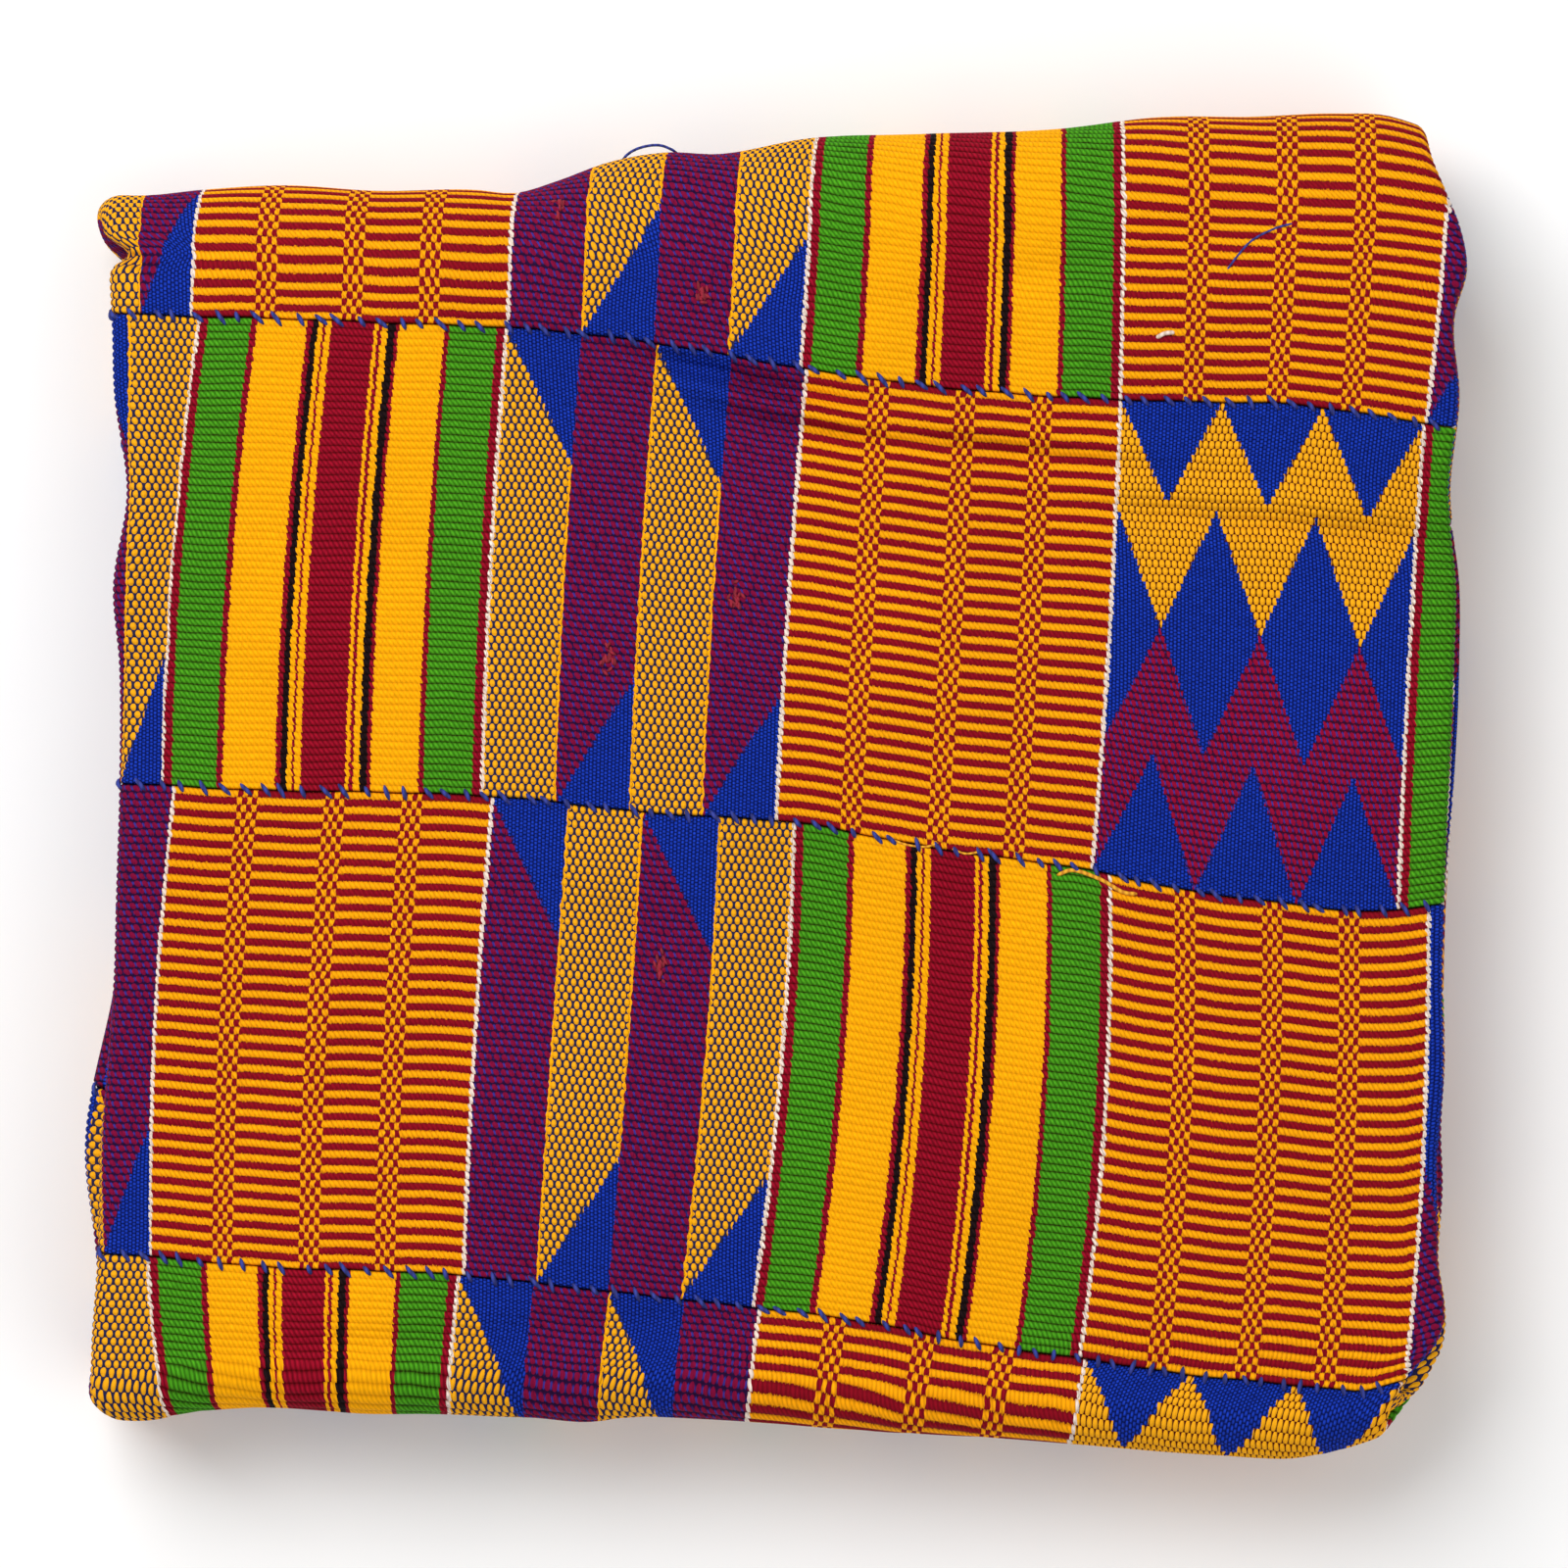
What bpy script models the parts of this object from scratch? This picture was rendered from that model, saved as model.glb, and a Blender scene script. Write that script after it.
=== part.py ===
"""Folded kente cloth: long woven strips sewn edge to edge, folded four deep along the strips and
then four deep across them, lying flat on a surface.

Run with: blender --background --python part.py
Units are metres, +Z is up. The strips run along X, the thick wrap of the last fold is at +Y.
"""

import math
from collections import namedtuple

import bmesh
import bpy
import numpy as np

MM = 0.001

# The cloth: strips of one width, the sheet's thickness, the gap that parts two strips and the
# room that a seam keeps to the nearest bend
STRIP_WIDTH = 100.0 * MM
STRIP_COUNT = 11
SHEET = 1.8 * MM
SEAM_GAP = 0.4 * MM
SEAM_CLEAR = 2.0 * MM

# Points of a strip's grid nearer than this are one point
MERGE_DISTANCE = 0.001 * MM

# The folds: each direction has four layers, the second one folds the pile that the first made
LAYER_PITCH = 2.8 * MM
PILE_PITCH = 4 * LAYER_PITCH
REST_HEIGHT = SHEET / 2
MIDDLE_HEIGHT = REST_HEIGHT + 1.5 * LAYER_PITCH + 1.5 * PILE_PITCH
TOP_HEIGHT = MIDDLE_HEIGHT + 1.5 * PILE_PITCH + 1.5 * LAYER_PITCH
HALF_PILE = 1.5 * LAYER_PITCH + SHEET / 2

# The upright box's middle in the frame of the outline tables
CENTRE_X = -1.67 * MM
CENTRE_Y = -0.165 * MM

# The straight edges that the outlines swing about
NOMINAL_LEFT = -141.0 * MM
NOMINAL_RIGHT = 140.0 * MM

# How far the back wrap and the front folds reach, seen from above, all in millimetres
Reach = namedtuple("Reach", "x back front")
REACHES = (
    Reach(-142, 123.0, -132.6),
    Reach(-132, 123.8, -132.4),
    Reach(-120, 125.2, -130.6),
    Reach(-103, 126.2, -130.3),
    Reach(-82, 125.8, -132.0),
    Reach(-62, 125.0, -132.3),
    Reach(-54, 124.7, -132.8),
    Reach(-36, 129.7, -133.3),
    Reach(-24, 132.4, -132.7),
    Reach(-12, 132.5, -134.0),
    Reach(6, 135.1, -135.4),
    Reach(29, 137.1, -136.6),
    Reach(60, 138.2, -138.1),
    Reach(82, 140.6, -140.1),
    Reach(103, 141.0, -141.0),
    Reach(121, 140.6, -141.4),
    Reach(132, 140.0, -141.0),
    Reach(141, 139.6, -140.6),
)

# Where the left wrap and the right folds end, seen from above, all in millimetres
Side = namedtuple("Side", "y left right")
SIDES = (
    Side(-139, -142.0, 128.0),
    Side(-130, -145.6, 132.8),
    Side(-121, -146.3, 136.1),
    Side(-99, -145.5, 136.8),
    Side(-78, -146.4, 136.8),
    Side(-60, -145.2, 137.5),
    Side(-41, -143.2, 137.4),
    Side(-26, -141.2, 139.0),
    Side(0, -140.2, 139.9),
    Side(37, -140.6, 141.3),
    Side(62, -138.6, 140.2),
    Side(82, -139.2, 141.8),
    Side(102, -141.5, 141.0),
    Side(113, -139.5, 143.5),
    Side(121, -142.2, 140.6),
    Side(130, -138.5, 137.4),
    Side(141, -133.0, 131.5),
)

# How far a seam has dropped towards the front by the time it reaches x, in millimetres
Drop = namedtuple("Drop", "x drop")
DROPS = (
    Drop(-141, 0.0),
    Drop(-100, 2.0),
    Drop(-60, 3.5),
    Drop(-30, 6.0),
    Drop(0, 9.5),
    Drop(40, 16.0),
    Drop(70, 20.0),
    Drop(105, 24.5),
    Drop(140, 27.0),
)

# The seam that shows nearest the back lies here at the left edge, with this many strips in front
BACK_SEAM_Y = 99.4 * MM
STRIPS_BEFORE_BACK_SEAM = 5

# How each pile, counted from the floor, lies against the top one, in millimetres
Pile = namedtuple("Pile", "level left right front back")
PILES = (
    Pile(0, 1.5, -1.0, 1.5, -1.5),
    Pile(1, -1.0, 1.6, 0.5, -0.5),
    Pile(2, 0.8, 1.4, -0.3, 0.3),
    Pile(3, 0.0, 0.0, 0.0, 0.0),
)

# Soft rises and hollows of the top, in millimetres, which fade out towards the floor
Swell = namedtuple("Swell", "x y reach_x reach_y rise")
SWELLS = (
    Swell(-150, 0, 45, 260, -3.6),
    Swell(0, -150, 260, 40, -2.4),
    Swell(150, -20, 40, 120, -2.0),
    Swell(-120, 130, 40, 45, -3.0),
    Swell(95, 105, 80, 50, 1.6),
    Swell(-20, 75, 45, 16, -1.3),
    Swell(60, 48, 120, 14, -0.9),
    Swell(-70, -40, 70, 60, 1.2),
    Swell(70, -60, 60, 70, 0.9),
)

# How many faces the flats and bends are cut into
COLUMNS_OUTER = 8
COLUMNS_INNER = 4
COLUMNS_FOLD = 4
COLUMNS_WRAP = 6
ROWS_TOP = 7
ROWS_FLOOR = 4
ROWS_INNER = 3
ROWS_FOLD = 6
ROWS_WRAP = 10

# Edges where two faces turn by more than this stay sharp, such as along a seam
SHARP_TURN = math.radians(50)

COLOURS = {
    "gold": (0.95, 0.43, 0.01, 1.0),
    "green": (0.03, 0.26, 0.01, 1.0),
    "maroon": (0.26, 0.01, 0.03, 1.0),
    "purple": (0.14, 0.02, 0.09, 1.0),
}
STRIP_ROUGHNESS = 0.85


def clear_scene():
    for obj in list(bpy.data.objects):
        bpy.data.objects.remove(obj, do_unlink=True)


def column(rows, name):
    """One named column of a table, as an array in metres."""
    return np.array([getattr(row, name) for row in rows]) * MM


def soft_curve(at, rows, along, value):
    """A curve through the table's points whose slope at each is the mean of its two sides."""
    knots = column(rows, along)
    values = column(rows, value)
    slopes = np.gradient(values, knots)
    at = np.clip(at, knots[0], knots[-1])
    low = np.clip(np.searchsorted(knots, at) - 1, 0, len(knots) - 2)
    step = knots[low + 1] - knots[low]
    share = (at - knots[low]) / step
    rise = share * share * (3 - 2 * share)
    leave = share * (1 - share) ** 2 * step * slopes[low]
    arrive = share * share * (share - 1) * step * slopes[low + 1]
    return values[low] * (1 - rise) + values[low + 1] * rise + leave + arrive


def fold_lengths(span, pitch):
    """The travel along a small fold, the wrap and one flat, for layers that lie a pitch apart."""
    return math.pi * pitch / 2, math.pi * 1.5 * pitch, span


def folded(travel, near, far, pitch):
    """The four-layer section: the top flat runs from near to far, where the wrap takes it to the
    bottom flat, and a small fold at near tucks each of the two inwards as an inner flat.

    Travel equals the place along the top flat. Returns the place along and across the section,
    and the two parts of the direction that points out of the cloth's outer face.
    """
    fold, wrap, span = fold_lengths(far - near, pitch)
    on_wrap = far + wrap
    on_floor = on_wrap + span
    on_fold = on_floor + fold
    tucked = near - fold
    upper_turn = np.clip((near - travel) / (pitch / 2), 0, math.pi)
    wrap_turn = np.clip((travel - far) / (1.5 * pitch), 0, math.pi)
    lower_turn = np.clip((travel - on_floor) / (pitch / 2), 0, math.pi)
    places = [travel < tucked, travel < near, travel <= far, travel < on_wrap]
    places += [travel < on_floor, travel < on_fold]
    along = np.select(
        places,
        [
            near + tucked - travel,
            near - pitch / 2 * np.sin(upper_turn),
            travel,
            far + 1.5 * pitch * np.sin(wrap_turn),
            far - (travel - on_wrap),
            near - pitch / 2 * np.sin(lower_turn),
        ],
        near + travel - on_fold,
    )
    across = np.select(
        places,
        [
            np.full_like(travel, pitch / 2),
            pitch + pitch / 2 * np.cos(upper_turn),
            np.full_like(travel, 1.5 * pitch),
            1.5 * pitch * np.cos(wrap_turn),
            np.full_like(travel, -1.5 * pitch),
            -pitch - pitch / 2 * np.cos(lower_turn),
        ],
        -pitch / 2,
    )
    turn = np.where(travel < near, -upper_turn, wrap_turn + lower_turn)
    return along, across, np.sin(turn), np.cos(turn)


def stations(near, far, pitch, inner, small, outer, wrap, floor):
    """Places of travel along a folded section, closer together on its bends."""
    fold_length, wrap_length, span = fold_lengths(far - near, pitch)
    runs = (
        (span, inner),
        (fold_length, small),
        (span, outer),
        (wrap_length, wrap),
        (span, floor),
        (fold_length, small),
        (span, inner),
    )
    travel = [near - fold_length - span]
    for length, pieces in runs:
        for step in range(pieces):
            travel.append(travel[-1] + length / pieces)
    return np.array(travel)


def cross_columns(skin):
    """The nominal x and the height in the pile of each column, for a skin this far off the
    middle of the sheet."""
    near = -(NOMINAL_RIGHT - LAYER_PITCH / 2 - SHEET / 2)
    far = -(NOMINAL_LEFT + HALF_PILE)
    travel = stations(
        near, far, LAYER_PITCH, COLUMNS_INNER, COLUMNS_FOLD, COLUMNS_OUTER, COLUMNS_WRAP, COLUMNS_INNER
    )
    along, across, out_along, out_across = folded(travel, near, far, LAYER_PITCH)
    return -along - skin * out_along, across + skin * out_across


def fold_lines(x):
    """The middles of the front folds and of the back wrap, at each x."""
    front = soft_curve(x, REACHES, "x", "front") + PILE_PITCH / 2 + HALF_PILE
    back = soft_curve(x, REACHES, "x", "back") - 1.5 * PILE_PITCH - HALF_PILE
    return front, back


def seam(number, x):
    """Travel across the strips at which this seam runs, counted from the tucked front end. A seam
    keeps to the side of each bend on which it lies at the middle of the cloth."""
    start = BACK_SEAM_Y + (number - STRIPS_BEFORE_BACK_SEAM) * STRIP_WIDTH
    travel = start - soft_curve(x, DROPS, "x", "drop")
    middle = start - soft_curve(0.0, DROPS, "x", "drop")
    for (low, high), (middle_low, middle_high) in zip(bends(x), bends(0.0)):
        if middle < middle_low:
            travel = np.minimum(travel, low - SEAM_CLEAR)
        elif middle > middle_high:
            travel = np.maximum(travel, high + SEAM_CLEAR)
    return travel


def bends(x):
    """Where the upper front fold, the back wrap and the lower front fold start and end at x."""
    front, back = fold_lines(x)
    fold, wrap, span = fold_lengths(back - front, PILE_PITCH)
    floor_end = back + wrap + span
    return (front - fold, front), (back, back + wrap), (floor_end, floor_end + fold)


def pile_shift(height, name):
    """How far the pile at this height lies off the top one, eased from each pile to the next."""
    level = (height - REST_HEIGHT) / (TOP_HEIGHT - REST_HEIGHT) * PILES[-1].level
    return soft_curve(level * MM, PILES, "level", name)


def ease_sides(x, y, height):
    """Moves the straight left and right edges onto their outlines, and the rest with them."""
    left = soft_curve(y, SIDES, "y", "left") - NOMINAL_LEFT + pile_shift(height, "left")
    right = soft_curve(y, SIDES, "y", "right") - NOMINAL_RIGHT + pile_shift(height, "right")
    share = np.clip((x - NOMINAL_LEFT) / (NOMINAL_RIGHT - NOMINAL_LEFT), 0, 1)
    return x + left * (1 - share) + right * share


def ease_ends(x, y, height):
    """Shifts the lower piles' front and back ends a little, as loosely laid cloth has them."""
    front, back = fold_lines(x)
    share = np.clip((y - front) / (back - front), 0, 1)
    return y + pile_shift(height, "front") * (1 - share) + pile_shift(height, "back") * share


def settle(x, y, height):
    """Adds the rises and hollows, in full at the top and none on the floor."""
    rise = np.zeros_like(height)
    for swell in SWELLS:
        near_x = (x / MM - swell.x) / swell.reach_x
        near_y = (y / MM - swell.y) / swell.reach_y
        rise += swell.rise * MM * np.exp(-(near_x**2) - near_y**2)
    share = np.maximum(height - REST_HEIGHT, 0) / (TOP_HEIGHT - REST_HEIGHT)
    return height + rise * share


def strip_skin(number, skin):
    """One face of a strip: a grid whose columns run along the cloth's length and whose rows run
    along the folds, each row held between the strip's two seams."""
    columns = []
    for middle_x, x, offset in zip(cross_columns(0.0)[0], *cross_columns(skin)):
        front, back = fold_lines(middle_x)
        rows = stations(
            front, back, PILE_PITCH, ROWS_INNER, ROWS_FOLD, ROWS_TOP, ROWS_WRAP, ROWS_FLOOR
        )
        start = max(seam(number, middle_x), rows[0])
        end = min(seam(number + 1, middle_x) - SEAM_GAP, rows[-1])
        along, across, out_y, out_z = folded(np.clip(rows, start, end), front, back, PILE_PITCH)
        y = along + offset * out_y
        height = MIDDLE_HEIGHT + across + offset * out_z
        columns.append(np.stack([np.full_like(y, x), y, height], axis=1))
    x, y, height = np.moveaxis(np.array(columns), 2, 0)
    eased_x = ease_sides(x, y, height)
    eased_y = ease_ends(x, y, height)
    settled = settle(eased_x, eased_y, height)
    return np.stack([eased_x - CENTRE_X, eased_y - CENTRE_Y, settled], axis=2)


def woven_finish(name):
    colour = COLOURS[name]
    material = bpy.data.materials.get(name)
    if material:
        return material
    material = bpy.data.materials.new(name)
    material.use_nodes = True
    shader = material.node_tree.nodes["Principled BSDF"]
    shader.inputs["Base Color"].default_value = colour
    shader.inputs["Roughness"].default_value = STRIP_ROUGHNESS
    shader.inputs["Metallic"].default_value = 0.0
    material.diffuse_color = colour
    return material


def add_strip(number, collection):
    """One strip as a sheet with thickness, folded with the rest of the cloth. A flat grid takes
    the inner skin's places, and its extruded copy takes the outer skin's."""
    inner = strip_skin(number, -SHEET / 2)
    outer = strip_skin(number, SHEET / 2).reshape(-1, 3)
    column_count, row_count, _ = inner.shape
    sheet = bmesh.new()
    bmesh.ops.create_grid(sheet, x_segments=row_count - 1, y_segments=column_count - 1, size=1)
    outer_place = sheet.verts.layers.float_vector.new("outer_place")
    for vertex, place, far_place in zip(sheet.verts, inner.reshape(-1, 3), outer):
        vertex.co = place
        vertex[outer_place] = far_place
    bmesh.ops.remove_doubles(sheet, verts=sheet.verts, dist=MERGE_DISTANCE)
    raised = bmesh.ops.extrude_face_region(sheet, geom=sheet.faces[:], use_keep_orig=True)
    for vertex in raised["geom"]:
        if isinstance(vertex, bmesh.types.BMVert):
            vertex.co = vertex[outer_place]
    bmesh.ops.recalc_face_normals(sheet, faces=sheet.faces)
    mesh = bpy.data.meshes.new(f"strip_{number + 1:02d}")
    sheet.to_mesh(mesh)
    sheet.free()
    names = list(COLOURS)
    mesh.materials.append(woven_finish(names[number % len(names)]))
    mesh.shade_smooth()
    mesh.set_sharp_from_angle(angle=SHARP_TURN)
    strip = bpy.data.objects.new(mesh.name, mesh)
    collection.objects.link(strip)
    return strip


def main():
    clear_scene()
    cloth = bpy.data.collections.new("folded_kente_cloth")
    bpy.context.scene.collection.children.link(cloth)
    for number in range(STRIP_COUNT):
        add_strip(number, cloth)


main()
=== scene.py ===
"""Folded kente cloth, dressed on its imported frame: eleven hand-woven strips with ribs in relief,
the overcast stitches that join them, loose yarn ends and the weave's traditional pattern.

Lengths are metres, angles radians, +Z is up. The strips run along X and the thick wrap is at +Y.
"""

import logging
import math
from collections import namedtuple
from dataclasses import dataclass, field
from enum import Enum
from typing import ClassVar

import bpy
import numpy as np
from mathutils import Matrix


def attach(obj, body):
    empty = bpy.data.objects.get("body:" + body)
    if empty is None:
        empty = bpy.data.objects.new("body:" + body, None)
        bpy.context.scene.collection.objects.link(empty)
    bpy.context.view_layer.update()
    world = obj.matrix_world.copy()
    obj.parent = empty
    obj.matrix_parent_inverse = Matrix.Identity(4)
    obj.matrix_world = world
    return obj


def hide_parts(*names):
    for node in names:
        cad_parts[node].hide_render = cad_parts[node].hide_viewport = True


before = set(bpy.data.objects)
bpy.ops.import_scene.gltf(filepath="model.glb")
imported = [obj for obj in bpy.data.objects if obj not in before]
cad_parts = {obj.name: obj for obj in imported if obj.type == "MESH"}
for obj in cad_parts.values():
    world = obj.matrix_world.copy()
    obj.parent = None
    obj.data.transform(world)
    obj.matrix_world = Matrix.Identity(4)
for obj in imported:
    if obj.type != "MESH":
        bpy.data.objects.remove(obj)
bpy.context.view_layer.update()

log = logging.getLogger("folded_kente_cloth")

MM = 0.001
BODY = "root"

# The photograph's scale at the cloth's top, and its middle
PIXELS_PER_MM = 4.85
PICTURE_MIDDLE = 800.0

# Ribs across a strip, 1.57 mm each
RIBS = 64

# The straight edges that the outlines swing about
NOMINAL_LEFT = -141.0 * MM
NOMINAL_RIGHT = 140.0 * MM

# How far the back wrap and the front folds reach, seen from above: x, back, front, in millimetres
REACHES = np.array((
    (-142, 126.0, -134.4), (-132, 125.6, -134.9), (-120, 126.8, -133.0), (-103, 127.7, -132.0),
    (-82, 126.4, -133.3), (-62, 126.6, -133.4), (-54, 125.9, -133.8), (-45, 128.6, -134.2),
    (-36, 132.2, -135.0), (-24, 134.5, -133.9), (-12, 134.2, -134.2), (6, 137.5, -135.4),
    (29, 138.4, -137.0), (60, 139.5, -138.7), (82, 142.0, -140.5), (103, 142.1, -142.0),
    (121, 142.8, -142.6), (132, 142.4, -140.6), (141, 139.6, -137.6),
)) * MM

# Where the left wrap and the right folds end, seen from above: y, left, right, in millimetres
SIDES = np.array((
    (-139, -143.0, 125.6), (-130, -147.6, 128.6), (-124, -147.0, 132.0), (-119, -146.8, 136.6),
    (-99, -145.4, 137.6), (-78, -144.9, 137.6), (-60, -143.4, 139.0), (-41, -142.0, 138.7),
    (-26, -141.6, 139.0), (0, -140.9, 140.2), (26, -141.0, 141.2), (41, -142.2, 141.6),
    (62, -139.3, 140.0), (82, -142.0, 142.0), (99, -142.6, 141.0), (109, -143.4, 143.6),
    (118, -145.6, 142.0), (125, -146.6, 139.2), (133, -143.0, 136.0), (141, -137.0, 134.5),
)) * MM

# How far a seam has dropped towards the front by the time it reaches x: x, drop, in millimetres
DROPS = np.array((
    (-141, 0.0), (-100, 2.0), (-60, 3.5), (-30, 6.0), (0, 9.5), (40, 16.0), (70, 20.0),
    (105, 24.5), (140, 27.0),
)) * MM

# How far three seams lie off that run, towards the back: x, and the shifts of the seams in front
# of strips 4, 5 and 6, in millimetres
SEAM_SHIFTS = np.array((
    (-141, 1.8, 0.7, 0.0), (-103, 0.8, 1.0, 0.4), (-62, 0.5, 1.5, 0.2), (-32, -0.6, 0.7, 0.0),
    (4, -0.3, 2.3, -2.0), (21, 0.0, 2.1, -1.6), (41, -0.4, 2.0, -0.8), (65, -0.8, 1.8, 1.0),
    (82, -0.7, 0.6, 2.6), (109, -0.5, 0.0, 5.0), (124, -0.8, -0.2, 4.0), (139, -1.0, 2.2, 2.4),
)) * MM
SHIFTED_SEAMS = (3, 4, 5)

# How each pile lies against the top one: level from the floor, left, right, front, back
PILES = np.array((
    (0, 1.5, -1.0, 1.5, -1.5), (1, -1.0, 1.6, 0.5, -0.5), (2, 0.8, 1.4, -0.3, 0.3),
    (3, 0.0, 0.0, 0.0, 0.0),
)) * MM

# Places where some piles stand out beyond the others or draw back: the level and its reach, y and
# the reach along y, and the shifts to the right of the left and the right end, in millimetres
Bulge = namedtuple("Bulge", "level levels y reach left right")
BULGES = (
    Bulge(1.9, 0.4, -74, 26, -4.8, 0.0),
    Bulge(1.9, 0.4, 16, 34, 0.0, 1.2),
    Bulge(1.9, 0.4, -84, 10, 0.0, 1.4),
    Bulge(1.9, 0.4, -126, 8, 0.0, 5.4),
    Bulge(2.4, 2.4, 112.4, 2.7, 4.4, 0.0),
)

# How fast a bulge fades out away from its end: the power of the share of the way
BULGE_FADE = 12

# Soft rises and hollows of the top, in millimetres, which fade out towards the floor
Swell = namedtuple("Swell", "x y reach_x reach_y rise")
SWELLS = [Swell(*row) for row in (
    (-150, 0, 45, 260, -3.6), (0, -150, 260, 40, -2.4), (150, -20, 40, 120, -2.0),
    (-120, 130, 40, 45, -3.0), (95, 105, 80, 50, 1.6), (-20, 75, 45, 16, -1.3),
    (60, 48, 120, 14, -0.9), (-70, -40, 70, 60, 1.2), (70, -60, 60, 70, 0.9),
)]

# Soft creases of the top: middle, direction of the crease from +X in degrees, half its length,
# half its width and its rise, in millimetres
Crease = namedtuple("Crease", "x y heading reach width rise")
CREASES = [Crease(*row) for row in (
    (-8, 85, -14, 26, 2.3, -3.3), (-4, 80, -14, 30, 2.4, 2.6), (38, 70, -7, 42, 2.8, -2.4),
    (40, 75, -7, 42, 2.8, 1.8), (104, 54, -6, 42, 2.8, -2.0), (108, 60, -6, 42, 2.8, 1.5),
    (-134, 40, 82, 45, 3.2, -1.8), (-46, 97, -12, 26, 2.8, 1.3), (48, 106, 12, 32, 3.6, -1.1),
    (-62, -116, 4, 52, 3.6, -1.3), (60, -122, -8, 52, 3.6, -1.2), (-100, -60, 70, 44, 4.6, 1.1),
    (20, 20, 62, 44, 5.6, 1.0), (-30, -30, -20, 46, 5.0, -0.8), (90, -60, 24, 44, 5.0, 0.8),
    (-138, 111, -24, 8, 1.6, -3.6), (-132, 119, 62, 9, 2.2, -1.6),
)]

# Gentle unevenness of hand-laid cloth: wave lengths along x and y, phase and height
RIPPLES = (
    (38 * MM, 61 * MM, 0.4, 0.16 * MM),
    (-55 * MM, 29 * MM, 1.9, 0.14 * MM),
    (23 * MM, -47 * MM, 3.1, 0.10 * MM),
    (90 * MM, 17 * MM, 5.0, 0.10 * MM),
)

# The weft lines that end the blocks of each strip, in the photograph's pixels: at the strip's
# front edge, at its middle and at its back edge
WEFT_LINES = {
    2: ((300, 440, 735, 1050, 1350), (190, 448, 748, 1068, 1375), (150, 468, 775, 1108, 1430)),
    3: ((151, 473, 768, 1102, 1434), (157, 485, 797, 1127, 1453), (177, 503, 810, 1132, 1458)),
    4: ((164, 492, 792, 1114, 1427), (175, 501, 805, 1132, 1438), (202, 517, 823, 1143, 1453)),
    5: ((193, 518, 817, 1143, 1455), (202, 529, 832, 1147, 1477), (213, 540, 842, 1150, 1485)),
}

# The length of the block that runs over the left wrap, in the photograph's pixels: at the front
# edge, the middle and the back edge
LEFT_BLOCKS = {2: (300, 300, 300), 3: (180, 230, 260), 4: (176, 184, 290), 5: (204, 250, 270)}
BLOCK_LENGTH = 65.0 * MM
FIRST_LINE = 1

# On the strips that don't show from above, the first weft line lies here on strip 1, and each
# strip's lines lie this share of a block on from the last strip's
HIDDEN_LINE = -123 * MM
HIDDEN_STEP = 0.37

# Blocks counted from the tucked far end of a strip to its other tucked end
FIRST_BLOCK = -8


class Block(Enum):
    """The blocks of the traditional pattern, each with the grey that stands for it on a ramp."""

    WARP_STRIPES = 0.0
    LADDER = 0.2
    FEATHERS_GOLD_FIRST = 0.4
    FEATHERS_PURPLE_FIRST = 0.6
    DIAMONDS = 0.8
    SLANTED_END = 1.0


# The charts: the blocks of a strip in order, by short names
G, S, F0, F1, Z, B = Block
LADDER_STRIP = (S, F1, G, S, Z, G, S, G, F0, S, F1, G, S, B, G, S, Z, S)
STRIPED_STRIP = (G, S, Z, G, F1, S, G, S, F1, G, F0, S, Z, G, S, F1, G, S)


def linear(code: str) -> tuple[float, float, float, float]:
    """Turns an sRGB colour, as six hex digits, into the linear one that a shader takes."""
    parts = [int(code[at : at + 2], 16) / 255 for at in (0, 2, 4)]
    red, green, blue = (p / 12.92 if p <= 0.04045 else ((p + 0.055) / 1.055) ** 2.4 for p in parts)
    return red, green, blue, 1.0


def soft_curve(at: np.ndarray, table: np.ndarray, value: int) -> np.ndarray:
    """A curve through a table's points whose slope at each is the mean of its two sides: a cubic
    Hermite piece between each two knots, held level beyond the ends.

    Args:
        at: where to read the curve.
        table: rows of a knot followed by its values.
        value: the column to read.

    Returns:
        The curve's value at each place.
    """
    knots = table[:, 0]
    values = table[:, value]
    slopes = np.gradient(values, knots)
    at = np.clip(at, knots[0], knots[-1])
    low = np.clip(np.searchsorted(knots, at) - 1, 0, len(knots) - 2)
    step = knots[low + 1] - knots[low]
    share = (at - knots[low]) / step
    rise = share * share * (3 - 2 * share)
    leave = share * (1 - share) ** 2 * step * slopes[low]
    arrive = share * share * (share - 1) * step * slopes[low + 1]
    return values[low] * (1 - rise) + values[low + 1] * rise + leave + arrive


def arcs(pitch: float) -> tuple[float, float]:
    """The lengths of a small fold's arc and of the wrap's arc, at the middles of the layers."""
    return math.pi * pitch / 2, math.pi * 1.5 * pitch


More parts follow.
